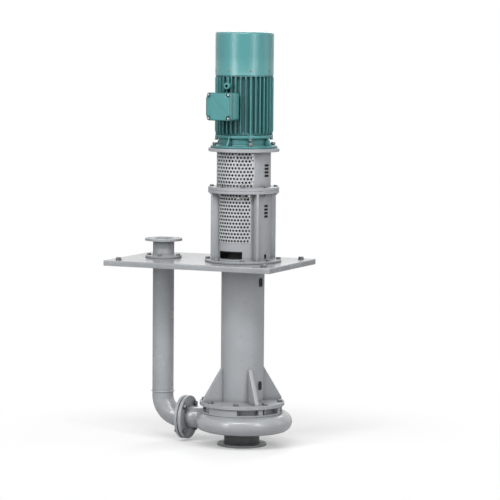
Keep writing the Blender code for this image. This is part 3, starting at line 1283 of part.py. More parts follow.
def make_motor_frame():
    """The finned motor frame, with the pad for the terminal box and the lifting boss above it."""
    loops = [frame_outline(), circle(FRAME_BORE_RADIUS, WIDE_STEPS)]
    frame = flat("motor_frame", loops, FRAME_TALL, shift(0, 0, FRAME_FOOT_Z))
    sunk = FRAME_BORE_RADIUS + (FRAME_ROOT_RADIUS - FRAME_BORE_RADIUS) / 2
    pad_loop = rounded_rectangle(PAD_WIDE, PAD_TALL, BOX_CORNER / 2, 2)
    pad = flat("box_pad", [pad_loop], BOX_BACK - SEAT_GAP - sunk, facing(MOTOR_TURN, sunk, BOX_Z))
    base = facing(MOTOR_TURN, sunk, BOSS_Z)
    boss = disc("lifting_boss", BOSS_RADIUS, 0, BOSS_REACH - sunk, MID_STEPS, base)
    hole = disc(
        "lifting_hole", BOSS_HOLE_RADIUS, 0, BOSS_REACH, BOLT_STEPS,
        facing(MOTOR_TURN, BOSS_REACH - BOSS_HOLE_DEEP, BOSS_Z),
    )
    chamfer_foot = FRAME_FOOT_Z - FIN_FOOT_CHAMFER / 2
    chamfer_top = FRAME_FOOT_Z + 3 * FIN_FOOT_CHAMFER / 2
    chamfer = turned("fin_foot_chamfer", [
        (FIN_TIP_RADIUS + 2 * THROUGH, chamfer_top),
        (FIN_TIP_RADIUS + 2 * THROUGH, chamfer_foot),
        (FIN_TIP_RADIUS - FIN_FOOT_CHAMFER, chamfer_foot),
        (FIN_TIP_RADIUS + FIN_FOOT_CHAMFER / 3, chamfer_top),
    ], ring=True)
    notch = tube(
        "fin_head_notch", FIN_TIP_RADIUS + THROUGH, FIN_TIP_RADIUS - FIN_HEAD_NOTCH / 2,
        FRAME_TOP_Z - FIN_HEAD_NOTCH, FRAME_TOP_Z + THROUGH,
    )
    cut(frame, chamfer, notch)
    join(frame, pad, boss)
    part(cut(frame, hole), MATERIALS["teal_paint"])


def make_terminal_box():
    """The terminal box on its pad: an open box, its lid and the terminal block inside."""
    box_loop = rounded_rectangle(BOX_WIDE, BOX_TALL, BOX_CORNER)
    box = flat("terminal_box", [box_loop], BOX_DEEP, facing(MOTOR_TURN, BOX_BACK, BOX_Z))
    hollow_loop = rounded_rectangle(BOX_WIDE - 2 * BOX_WALL, BOX_TALL - 2 * BOX_WALL, BOX_CORNER - BOX_WALL)
    hollow = flat("box_hollow", [hollow_loop], BOX_DEEP, facing(MOTOR_TURN, BOX_BACK + BOX_WALL, BOX_Z))
    part(cut(box, hollow), MATERIALS["teal_paint"])
    lid_loop = rounded_rectangle(BOX_WIDE + 2 * LID_OVERHANG, BOX_TALL + 2 * LID_OVERHANG, BOX_CORNER)
    lid_seat = facing(MOTOR_TURN, BOX_BACK + BOX_DEEP + SEAT_GAP, BOX_Z)
    part(flat("terminal_box_lid", [lid_loop], BOX_LID_THICK, lid_seat), MATERIALS["teal_paint"])
    block_loop = rounded_rectangle(BLOCK_WIDE, BLOCK_TALL, BLOCK_CORNER, 1)
    block_seat = facing(MOTOR_TURN, BOX_BACK + BOX_WALL + SEAT_GAP, BOX_Z)
    part(flat("terminal_block", [block_loop], BLOCK_THICK, block_seat), MATERIALS["dark_plastic"])


def make_stator():
    """The stator core in the frame's bore and its two winding heads."""
    outer = FRAME_BORE_RADIUS - 2 * SEAT_GAP
    top = CORE_FOOT_Z + CORE_TALL
    part(tube("stator_core", outer, STATOR_BORE_RADIUS, CORE_FOOT_Z, top), MATERIALS["steel"])
    inner = STATOR_BORE_RADIUS + 2 * RUNNING_GAP
    head = outer - WINDING_INSET
    drive_foot = CORE_FOOT_Z - SEAT_GAP - WINDING_TALL
    for name, foot in (("drive_winding_head", drive_foot), ("fan_winding_head", top + SEAT_GAP)):
        part(tube(name, head, inner, foot, foot + WINDING_TALL, MID_STEPS), MATERIALS["copper"])


def make_fan_endshield():
    """The upper endshield under the cowl: a disc with the bearing seat and eight lugs that hold the cowl."""
    foot = FRAME_TOP_Z + SEAT_GAP
    lug_foot = COWL_FOOT_Z + COWL_LUG_LIFT
    lug_top = lug_foot + COWL_LUG_TALL
    reach = COWL_RADIUS - COWL_WALL - SEAT_GAP
    bearing_top = foot + FAN_BEARING_TALL + SEAT_GAP
    shaft_bore = bore_for(FAN_SHAFT_RADIUS, WIDE_STEPS)
    shield = turned("fan_endshield", [
        (reach, lug_top),
        (reach, lug_foot),
        (FRAME_ROOT_RADIUS, lug_foot - THROUGH),
        (FRAME_ROOT_RADIUS, foot),
        (FAN_BEARING_RADIUS, foot),
        (FAN_BEARING_RADIUS, bearing_top),
        (shaft_bore, bearing_top),
        (shaft_bore, lug_top),
    ], ring=True)
    pitch = 2 * math.pi / COWL_LUGS
    tools = [
        sector(
            f"cowl_air_gap_{i + 1}", FRAME_ROOT_RADIUS, COWL_RADIUS + THROUGH, foot - THROUGH,
            lug_top - foot + 2 * THROUGH, MOTOR_TURN + i * pitch + COWL_LUG_WIDTH / 2, pitch - COWL_LUG_WIDTH, 3,
        )
        for i in range(COWL_LUGS)
    ]
    part(cut(shield, *tools), MATERIALS["teal_paint"])
    bearing = tube(
        "fan_bearing", FAN_BEARING_RADIUS - SEAT_GAP, bore_for(FAN_SHAFT_RADIUS, MID_STEPS, SEAT_GAP), foot,
        foot + FAN_BEARING_TALL, MID_STEPS,
    )
    part(bearing, MATERIALS["steel"])


def make_fan_cowl():
    """The drawn cowl over the fan, with a rolled lip at its foot and an air-inlet grille in its top."""
    inner = COWL_RADIUS - COWL_WALL
    middle = (COWL_RADIUS - COWL_CORNER, COWL_TOP_Z - COWL_CORNER)
    corner = [
        (middle[0] + y, middle[1] + x) for x, y in arc(COWL_CORNER, 0, math.pi / 2, COWL_CORNER_STEPS)
    ]
    inner_corner = [
        (middle[0] + x, middle[1] + y)
        for x, y in arc(COWL_CORNER - COWL_WALL, 0, math.pi / 2, COWL_CORNER_STEPS)
    ]
    lip = [
        (COWL_RADIUS, COWL_FOOT_Z + COWL_LIP_TALL + COWL_LIP),
        (COWL_RADIUS + COWL_LIP, COWL_FOOT_Z + COWL_LIP_TALL),
        (COWL_RADIUS + COWL_LIP, COWL_FOOT_Z),
        (inner, COWL_FOOT_Z),
    ]
    cowl = turned("fan_cowl", [(0, COWL_TOP_Z)] + corner + lip + inner_corner + [(0, COWL_TOP_Z - COWL_WALL)])
    tools = []
    for ring in range(GRILLE_RINGS):
        reach = GRILLE_FIRST_RADIUS + ring * GRILLE_PITCH
        spoke = GRILLE_SPOKE_WIDTH / reach
        for i in range(GRILLE_SPOKES):
            start = 2 * math.pi * i / GRILLE_SPOKES + spoke / 2
            tools.append(sector(
                f"grille_slot_{ring}_{i}", reach - GRILLE_SLOT / 2, reach + GRILLE_SLOT / 2,
                COWL_TOP_Z - COWL_WALL - THROUGH, 2 * THROUGH + COWL_WALL, start,
                2 * math.pi / GRILLE_SPOKES - spoke, 3,
            ))
    part(cut(cowl, *tools), MATERIALS["teal_paint"])


def make_motor_rotor(axis):
    """The motor shaft with its rotor core, cooling fan and coupling half."""
    bearing_foot = MOTOR_FACE_Z + MOTOR_FLANGE_THICK
    drive_shoulder = bearing_foot + MOTOR_BEARING_TALL + SEAT_GAP
    fan_shoulder = FRAME_TOP_Z
    end = COUPLING_TOP_Z - MOTOR_SHAFT_GRIP
    top = FAN_FOOT_Z + FAN_TALL + THROUGH
    shaft = turned("motor_shaft", [
        (0, top),
        (FAN_SHAFT_RADIUS, top),
        (FAN_SHAFT_RADIUS, fan_shoulder),
        (ROTOR_SHAFT_RADIUS, fan_shoulder),
        (ROTOR_SHAFT_RADIUS, drive_shoulder),
        (MOTOR_SHAFT_RADIUS, drive_shoulder),
        (MOTOR_SHAFT_RADIUS, end),
        (0, end),
    ], MID_STEPS)
    part(shaft, MATERIALS["steel"], axis)
    core_bore = ROTOR_SHAFT_RADIUS + SEAT_GAP
    core = tube("rotor_core", ROTOR_RADIUS, core_bore, CORE_FOOT_Z, CORE_FOOT_Z + CORE_TALL, MID_STEPS)
    part(core, MATERIALS["steel"], axis)
    face = SPIDER_Z + SPIDER_THICK / 2 + SEAT_GAP
    bore = MOTOR_SHAFT_RADIUS + SEAT_GAP
    half = coupling_half("motor_coupling_half", bore, COUPLING_TOP_Z, face, -1, math.pi / JAWS)
    part(half, MATERIALS["dark_iron"], axis)

    back = FAN_FOOT_Z + 2 * FAN_BLADE_THICK
    fan = turned("cooling_fan", [
        (FAN_HUB_RADIUS, FAN_FOOT_Z + FAN_TALL),
        (FAN_HUB_RADIUS, back),
        (FAN_RADIUS - THROUGH, back),
        (FAN_RADIUS - THROUGH, FAN_FOOT_Z),
        (FAN_SHAFT_RADIUS + SEAT_GAP, FAN_FOOT_Z),
        (FAN_SHAFT_RADIUS + SEAT_GAP, FAN_FOOT_Z + FAN_TALL),
    ], MID_STEPS, ring=True)
    half_blade = FAN_BLADE_THICK / 2
    loop = [
        (FAN_HUB_RADIUS - THROUGH, -half_blade), (FAN_RADIUS, -half_blade),
        (FAN_RADIUS, half_blade), (FAN_HUB_RADIUS - THROUGH, half_blade),
    ]
    for i in range(FAN_BLADES):
        frame = spin(2 * math.pi * i / FAN_BLADES) @ shift(0, 0, FAN_FOOT_Z + FAN_BLADE_THICK)
        join(fan, flat(f"fan_blade_{i + 1}", [loop], FAN_TALL - 2 * FAN_BLADE_THICK, frame))
    part(fan, MATERIALS["dark_plastic"], axis)


def joint_axis(name, height):
    """An empty on the shaft axis that a rotor's pieces hang from."""
    empty = bpy.data.objects.new(name, None)
    empty.empty_display_size = 0.1
    PARTS.objects.link(empty)
    empty.location = (0, 0, height)
    return empty


def make_materials():
    return {
        "grey_paint": principled("grey_paint", (0.36, 0.38, 0.40), 0.35, 0.0),
        "pale_plate": principled("pale_plate", (0.50, 0.51, 0.52), 0.30, 0.1),
        "teal_paint": principled("teal_paint", (0.10, 0.34, 0.34), 0.40, 0.0),
        "dark_iron": principled("dark_iron", (0.10, 0.10, 0.11), 0.55, 0.6),
        "zinc": principled("zinc", (0.45, 0.46, 0.47), 0.35, 0.9),
        "steel": principled("steel", (0.55, 0.56, 0.57), 0.30, 1.0),
        "copper": principled("copper", (0.45, 0.20, 0.10), 0.45, 0.8),
        "rubber": principled("rubber", (0.03, 0.03, 0.03), 0.70, 0.0),
        "spider_rubber": principled("spider_rubber", (0.45, 0.08, 0.05), 0.60, 0.0),
        "dark_plastic": principled("dark_plastic", (0.05, 0.05, 0.06), 0.55, 0.0),
    }


clear_scene()
PARTS = new_collection("slurry_pump")
CUTTERS = new_collection("cutters")
MATERIALS = make_materials()
make_suction_cover()
make_volute_casing()
make_casing_cover()
make_shaft_seal()
make_column()
make_casing_bolts()
make_base_plate()
make_discharge_line()
make_lower_lantern()
make_upper_lantern()
make_bearing_housing()
make_pump_rotor(joint_axis("pump_rotor_axis", LOWER_BEARING_Z))
make_drive_endshield()
make_motor_frame()
make_terminal_box()
make_stator()
make_fan_endshield()
make_fan_cowl()
make_motor_rotor(joint_axis("motor_rotor_axis", MOTOR_FACE_Z))
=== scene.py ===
"""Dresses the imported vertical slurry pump: castings and weldments in grey paint, a finned motor in teal.

Lengths are in metres. The shaft axis is X = Y = 0 and z = 0 is the face of the suction flange. Angles are in
degrees about the shaft, measured from +X and counter-clockwise from above. Every surface is worked out as
arrays: a profile turned about an axis, an outline raised with rounded edges, a round section carried along a
path, or a sheet of cells.
"""

import json
import math

import bmesh
import bpy
import numpy as np
from mathutils import Matrix, Vector


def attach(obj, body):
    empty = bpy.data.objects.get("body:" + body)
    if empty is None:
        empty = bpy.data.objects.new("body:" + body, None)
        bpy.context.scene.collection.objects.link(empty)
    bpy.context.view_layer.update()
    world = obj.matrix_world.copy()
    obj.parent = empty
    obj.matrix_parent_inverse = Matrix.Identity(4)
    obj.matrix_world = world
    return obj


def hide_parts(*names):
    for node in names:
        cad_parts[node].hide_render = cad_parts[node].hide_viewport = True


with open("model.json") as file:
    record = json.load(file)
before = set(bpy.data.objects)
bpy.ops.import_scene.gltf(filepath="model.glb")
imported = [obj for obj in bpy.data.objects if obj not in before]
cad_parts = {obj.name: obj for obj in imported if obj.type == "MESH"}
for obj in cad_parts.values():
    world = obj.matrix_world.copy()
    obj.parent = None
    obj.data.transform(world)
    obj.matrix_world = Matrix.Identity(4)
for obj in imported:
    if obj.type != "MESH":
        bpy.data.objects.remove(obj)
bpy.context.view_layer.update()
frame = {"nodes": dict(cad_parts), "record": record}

TAU = 2 * math.pi
NODES = frame["nodes"]
MAT = {}
HOLE_RIM = np.radians(-135 + 22.5 * np.arange(16))
UP = (0, 0, 1)
MID_GREY = (0.5, 0.5, 0.5, 1)

# Measures that several pieces share
LINE_Z = 0.127
RISER_X = -0.467
PIPE_RADIUS = 0.0571
PIPE_BORE = 0.0511
LINE_FLANGE = 0.1155
LINE_CIRCLE = 0.0935
COLUMN_RADIUS = 0.114
VENT_ANGLE = -8
PLATE_FOOT_Z = 0.951
PLATE_TOP_Z = 0.980
TUBE_RADIUS = 0.1425
GUARD_RADIUS = 0.1443
RING_RADIUS = 0.187
RING_BORE = 0.1365
MOTOR_FRONT = -98
BOX_Z = 1.801
LUG_ANGLE = 37
FINS = 36
FIN_PITCH = 10


# Shapes as arrays of points and lists of faces


def cells_of(rows, cols, wrap_rows=False):
    """Quads between the neighbouring points of a grid that closes on itself across its columns."""
    i = np.arange(rows if wrap_rows else rows - 1)[:, None]
    j = np.arange(cols)[None, :]
    below = i * cols
    above = (i + 1) % rows * cols
    right = (j + 1) % cols
    quads = np.stack([below + j + 0 * i, below + right, above + right, above + j + 0 * i], -1)
    return quads.reshape(-1, 4).tolist()


def merged(*shells):
    """Several shells in one: points stacked, and each one's faces moved on by the points before it."""
    points, faces, count = [], [], 0
    for shell_points, shell_faces in shells:
        points.append(shell_points)
        faces += [[k + count for k in face] for face in shell_faces]
        count += len(shell_points)
    return np.concatenate(points), faces


def placed(shell, matrix):
    """A shell carried by a 4 by 4 matrix: each point is multiplied by it."""
    points, faces = shell
    m = np.array(matrix)
    return points @ m[:3, :3].T + m[:3, 3], faces


def around(shell, count, start=0.0):
    """Copies of a shell turned about the shaft, one every 360 / count degrees from start."""
    step = 360.0 / count
    return merged(*[placed(shell, turn(start + k * step)) for k in range(count)])


def turn(degrees):
    """A turn about the shaft."""
    return Matrix.Rotation(math.radians(degrees), 4, "Z")


def shift(x, y, z):
    """A move without a turn."""
    return Matrix.Translation((x, y, z))


def hanging(x, y, z):
    """A frame at a point whose Z points down."""
    return shift(x, y, z) @ Matrix.Rotation(math.pi, 4, "X")


def facing(degrees, reach, z):
    """A frame whose Z points away from the shaft, X along the tangent and Y up."""
    a = math.radians(degrees)
    out = Vector((math.cos(a), math.sin(a), 0.0))
    side = Vector((0.0, 0.0, 1.0)).cross(out)
    spin = Matrix((side, Vector((0.0, 0.0, 1.0)), out)).transposed().to_4x4()
    return shift(out.x * reach, out.y * reach, z) @ spin


def towards_left(x, z):
    """A frame at (x, 0, z) whose Z points along -X."""
    return shift(x, 0, z) @ Matrix.Rotation(-math.pi / 2, 4, "Y")


def upright(degrees, thick):
    """A frame that stands an outline of (reach, height) up on a radius, centred on its thickness."""
    return turn(degrees) @ shift(0, thick / 2, 0) @ Matrix.Rotation(math.pi / 2, 4, "X")


def eased(corners, closed, steps=4):
    """A profile with its corners rounded: each (a, b, radius) corner becomes an arc that meets both edges.

    A point a little beyond each end of the arc holds the flat next to it flat in shading.
    """
    corners = np.array(corners, float)
    out = []
    for k, (x, y, radius) in enumerate(corners):
        if radius <= 0 or (not closed and k in (0, len(corners) - 1)):
            out.append([[x, y]])
            continue
        here = np.array([x, y])
        back = corners[k - 1, :2] - here
        ahead = corners[(k + 1) % len(corners), :2] - here
        back_length, ahead_length = np.hypot(*back), np.hypot(*ahead)
        back, ahead = back / back_length, ahead / ahead_length
        half = math.acos(np.clip(back @ ahead, -1, 1)) / 2
        reach = min(radius / math.tan(half), back_length * 0.42, ahead_length * 0.42)
        radius = reach * math.tan(half)
        centre = here + (back + ahead) / np.hypot(*(back + ahead)) * radius / math.sin(half)
        start, end = here + back * reach - centre, here + ahead * reach - centre
        first, last = math.atan2(start[1], start[0]), math.atan2(end[1], end[0])
        swing = (last - first + math.pi) % TAU - math.pi
        angles = first + swing * np.linspace(0, 1, steps + 1)
        out.append([here + back * reach * 1.15])
        out.append(centre + radius * np.stack([np.cos(angles), np.sin(angles)], 1))
        out.append([here + ahead * reach * 1.15])
    return np.concatenate(out)


def turned(profile, closed=True, steps=128, ripple=None):
    """A profile of (r, z) turned about Z: point = (r cos a, r sin a, z).

    An open one starts or ends on the axis. What ripple gives for (r, a) is added to r.
    """
    profile = np.asarray(profile, float)
    angles = np.arange(steps) * TAU / steps
    first_pole = not closed and profile[0, 0] < 1e-7
    last_pole = not closed and profile[-1, 0] < 1e-7
    body = profile[int(first_pole): len(profile) - int(last_pole)]
    r = body[:, :1] * np.ones(steps)
    if ripple is not None:
        r = r + ripple(body[:, :1], angles[None, :])
    grid = np.stack([r * np.cos(angles), r * np.sin(angles), body[:, 1:] * np.ones(steps)], -1)
    points = grid.reshape(-1, 3)
    faces = cells_of(len(body), steps, wrap_rows=closed)
    ring = np.arange(steps)
    for wanted, row, z in ((first_pole, 0, profile[0, 1]), (last_pole, len(body) - 1, profile[-1, 1])):
        if wanted:
            pole = len(points)
            points = np.concatenate([points, [[0, 0, z]]])
            base = row * steps
            faces += np.stack([base + ring, base + (ring + 1) % steps, 0 * ring + pole], 1).tolist()
    return points, faces


def ring(outer, inner, low, high, ease=0.0012, steps=128):
    """A flat ring or a tube with eased edges."""
    corners = [(outer, high, ease), (outer, low, ease), (inner, low, ease), (inner, high, ease)]
    return turned(eased(corners, True), True, steps)


def rod(radius, low, high, ease=0.0008, steps=32):
    """A solid round bar with eased ends."""
    flat = radius - 2.6 * ease
    corners = [
        (0, high, 0), (flat, high, 0), (radius, high, ease),
        (radius, low, ease), (flat, low, 0), (0, low, 0),
    ]
    return turned(eased(corners, False, 3), False, steps)


def raised(outline, low, high, ease=0.0012, steps=3):
    """An outline raised from low to high: each row is the outline drawn in by the easing of its edge."""
    outline = np.asarray(outline, float)
    ahead = np.roll(outline, -1, 0) - outline
    ahead /= np.hypot(ahead[:, 0], ahead[:, 1])[:, None]
    normal = np.stack([ahead[:, 1], -ahead[:, 0]], 1)
    before = np.roll(normal, 1, 0)
    miter = normal + before
    miter /= np.maximum((miter * normal).sum(1), 0.35)[:, None]
    area = (outline[:, 0] * np.roll(outline[:, 1], -1) - np.roll(outline[:, 0], -1) * outline[:, 1]).sum()
    if area < 0:
        miter = -miter
    a = np.linspace(0, math.pi / 2, steps + 1)
    inset = ease * np.concatenate([[1.3], 1 - np.sin(a), 1 - np.cos(a), [1.3]])
    height = np.concatenate([[low], low + ease * (1 - np.cos(a)), high - ease * (1 - np.sin(a)), [high]])
    rows = outline[None] - miter[None] * inset[:, None, None]
    points = np.concatenate([rows, np.broadcast_to(height[:, None, None], rows.shape[:2] + (1,))], -1)
    count = len(outline)
    faces = cells_of(len(rows), count)
    faces.append(list(range(count))[::-1])
    faces.append([(len(rows) - 1) * count + k for k in range(count)])
    return points.reshape(-1, 3), faces


def box_outline(wide, tall, corner, steps=6):
    """A rectangle about the origin with round corners."""
    w, h = wide / 2, tall / 2
    return eased([(w, -h, corner), (w, h, corner), (-w, h, corner), (-w, -h, corner)], True, steps)


def carried(path, radii, up, sides=48, capped=True):
    """A round section carried along a flat path: point = path + radius (side cos a + up sin a)."""
    path = np.asarray(path, float)
    along = np.gradient(path, axis=0)
    along /= np.linalg.norm(along, axis=1)[:, None]
    up = np.asarray(up, float)
    side = np.cross(along, up)
    side /= np.linalg.norm(side, axis=1)[:, None]
    a = np.arange(sides) * TAU / sides
    offset = side[:, None] * np.cos(a)[None, :, None] + up[None, None] * np.sin(a)[None, :, None]
    points = path[:, None] + offset * np.asarray(radii, float)[:, None, None]
    faces = cells_of(len(path), sides)
    if capped:
        faces.append(list(range(sides)))
        faces.append([(len(path) - 1) * sides + k for k in range(sides)])
    return points.reshape(-1, 3), faces


def breaks(keys, widest):
    """The key values in order, with even steps no wider than the limit between them.

    A key that is given twice stays doubled, and a cell between the two has no width.
    """
    keys = sorted(keys)
    out = [[keys[0]]]
    for low, high in zip(keys, keys[1:]):
        count = max(1, math.ceil((high - low) / widest - 1e-6))
        out.append(np.linspace(low, high, count + 1)[1:])
    return np.concatenate(out)


def swept(profile, angles):
    """The points of a profile of (r, z) at each of the angles, row by row."""
    r = profile[:, :1] + 0 * angles
    grid = np.stack([r * np.cos(angles), r * np.sin(angles), profile[:, 1:] + 0 * r], -1)
    return grid.reshape(-1, 3)


def sheet(profile, degrees, open_cells=(), holes=(), hole_radius=0.0, stretch=0.0):
    """A turned skin of cells between the rows of a profile and a list of angles.

    open_cells is a mask of cells left out. Each hole is (row, column): it takes the cell there and the next
    one round. Its rim is a circle about their middle, or a slot where stretch moves its two halves apart. A
    rim that is wider than the two cells folds over the cells beside them.
    """
    profile = np.asarray(profile, float)
    angles = np.radians(np.asarray(degrees, float))
    closed = abs(angles[-1] - angles[0] - TAU) < 1e-6
    columns = len(angles) - 1
    width = columns if closed else columns + 1
    points = [swept(profile, angles[:width])]
    rows = len(profile) - 1
    left_out = np.zeros((rows, columns), bool) if len(open_cells) == 0 else open_cells.copy()
    faces = []
    base = len(points[0])
    for row, column in holes:
        left_out[row, column] = True
        left_out[row, (column + 1) % columns] = True
        low, high = profile[row], profile[row + 1]
        middle = (low + high) / 2
        slope = (high - low) / np.hypot(*(high - low))
        rise = hole_radius * np.sin(HOLE_RIM) + stretch * np.sign(np.sin(HOLE_RIM))
        centre = angles[(column + 1) % columns] if closed else angles[column + 1]
        swing = centre + hole_radius * np.cos(HOLE_RIM) / middle[0]
        rim_r = middle[0] + slope[0] * rise
        rim_z = middle[1] + slope[1] * rise
        points.append(np.stack([rim_r * np.cos(swing), rim_r * np.sin(swing), rim_z], 1))
        c = [base + k for k in range(len(HOLE_RIM))]
        base += len(HOLE_RIM)
        b = [row * width + (column + k) % width for k in range(3)]
        t = [(row + 1) * width + (column + k) % width for k in range(3)]
        faces.append([b[0], b[1], b[2], c[4], c[3], c[2], c[1], c[0]])
        faces.append([b[2], t[2], c[8], c[7], c[6], c[5], c[4]])
        faces.append([t[2], t[1], t[0], c[12], c[11], c[10], c[9], c[8]])
        faces.append([t[0], b[0], c[0], c[15], c[14], c[13], c[12]])
    i, j = np.nonzero(~left_out)
    below, above, ahead = i * width, (i + 1) * width, (j + 1) % width
    faces += np.stack([below + j, below + ahead, above + ahead, above + j], 1).tolist()
    return np.concatenate(points), faces


def hex_head(radius, tall, steps=48):
    """A hexagon head: its reach is the smaller of the hexagon's flats and the cone of its chamfer."""
    angles = np.arange(steps) * TAU / steps
    flats = radius * math.cos(math.pi / 6) / np.cos((angles % (TAU / 6)) - TAU / 12)
    heights = np.array([0, 0.06, 0.80, 0.86, 0.92, 0.96, 1.0])
    cone = radius * np.array([0.97, 1.1, 1.1, 0.985, 0.94, 0.91, 0.86])
    reach = np.minimum(flats[None], cone[:, None])
    grid = np.stack([reach * np.cos(angles), reach * np.sin(angles), heights[:, None] * tall + 0 * reach], -1)
    faces = cells_of(len(heights), steps)
    faces.append(list(range(steps))[::-1])
    faces.append([(len(heights) - 1) * steps + k for k in range(steps)])
    return grid.reshape(-1, 3), faces


def bolt(size, shank=0.0, washer=True, nut_at=None):
    """A hexagon bolt of a nominal size standing on z = 0: washer, chamfered head, and below shank and nut."""
    lift = 0.0
    parts = []
    if washer:
        lift = size * 0.17
        parts.append(ring(size * 0.98, size * 0.45, 0.0, lift, 0.0004, 32))
    parts.append(placed(hex_head(size * 0.866, size * 0.62), shift(0, 0, lift)))
    if shank:
        parts.append(rod(size / 2, -shank, lift + size * 0.1, 0.0008, 24))
    if nut_at is not None:
        parts.append(placed(hex_head(size * 0.866, size * 0.8), hanging(0, 0, -nut_at)))
    return merged(*parts)


def weld(radius, z, size=0.0032, steps=256, beads=60):
    """A weld bead round a pipe: a half-round ring whose reach swells once for each bead."""
    a = np.linspace(0, TAU, 13)[:-1]
    profile = np.stack([radius + size * np.cos(a), z + size * np.sin(a)], 1)
    return turned(profile, True, steps, lambda r, t: 0.0004 * np.abs(np.sin(beads * t)) * (r > radius))


# Finishes


def node(tree, kind, **values):
    """A shader node with some of its inputs and settings given by name."""
    made = tree.nodes.new(kind)
    for key, value in values.items():
        if key in made.inputs:
            made.inputs[key].default_value = value
        else:
            setattr(made, key, value)
    return made


def wire(tree, *pairs):
    """Links between sockets, each given as (from, to)."""
    for start, end in pairs:
        tree.links.new(start, end)


def group(name, inputs):
    """A node group for a skin: inputs by name and default, and a colour, a roughness and a normal out."""
    tree = bpy.data.node_groups.new(name, "ShaderNodeTree")
    for label, default in inputs.items():
        kind = "NodeSocketColor" if isinstance(default, tuple) else "NodeSocketFloat"
        tree.interface.new_socket(label, in_out="INPUT", socket_type=kind).default_value = default
    for label, kind in (("Colour", "Color"), ("Roughness", "Float"), ("Normal", "Vector")):
        tree.interface.new_socket(label, in_out="OUTPUT", socket_type="NodeSocket" + kind)
    given = tree.nodes.new("NodeGroupInput").outputs
    return tree, given, tree.nodes.new("NodeGroupOutput").inputs


def mixed(tree, factor, a, b, blend="MIX"):
    """Two colours mixed by a factor; each of the three may be a socket or a value."""
    mix = tree.nodes.new("ShaderNodeMix")
    mix.data_type = "RGBA"
    mix.blend_type = blend
    for index, value in ((0, factor), (6, a), (7, b)):
        if isinstance(value, bpy.types.NodeSocket):
            tree.links.new(value, mix.inputs[index])
        else:
            mix.inputs[index].default_value = value
    return mix.outputs[2]


def math_of(tree, operation, *values):
    """The result of a math node; each value may be a socket or a number."""
    made = tree.nodes.new("ShaderNodeMath")
    made.operation = operation
    for index, value in enumerate(values):
        if isinstance(value, bpy.types.NodeSocket):
            tree.links.new(value, made.inputs[index])
        else:
            made.inputs[index].default_value = value
    return made.outputs[0]


def noise(tree, where, **values):
    """The value of a noise texture read at a vector socket."""
    made = node(tree, "ShaderNodeTexNoise", **values)
    tree.links.new(where, made.inputs["Vector"])
    return made.outputs["Fac"]


def scaled(tree, where, scale):
    """A vector socket multiplied by a factor on each axis."""
    made = node(tree, "ShaderNodeMapping", Scale=scale)
    tree.links.new(where, made.inputs["Vector"])
    return made.outputs["Vector"]


def painted_corner_shade(tree, distance, strength):
    """How shut in a place is within a distance, times a strength: the amount of painted shade there."""
    corner = node(tree, "ShaderNodeAmbientOcclusion", samples=4, Distance=distance)
    shut_in = math_of(tree, "SUBTRACT", 1.0, corner.outputs["AO"])
    return math_of(tree, "MULTIPLY", shut_in, strength)


def bump(tree, distance, height, strength, target):
    """A bump of a height and a strength, linked to a normal socket."""
    made = node(tree, "ShaderNodeBump", Distance=distance)
    wire(tree, (height, made.inputs["Height"]), (strength, made.inputs["Strength"]))
    tree.links.new(made.outputs["Normal"], target)


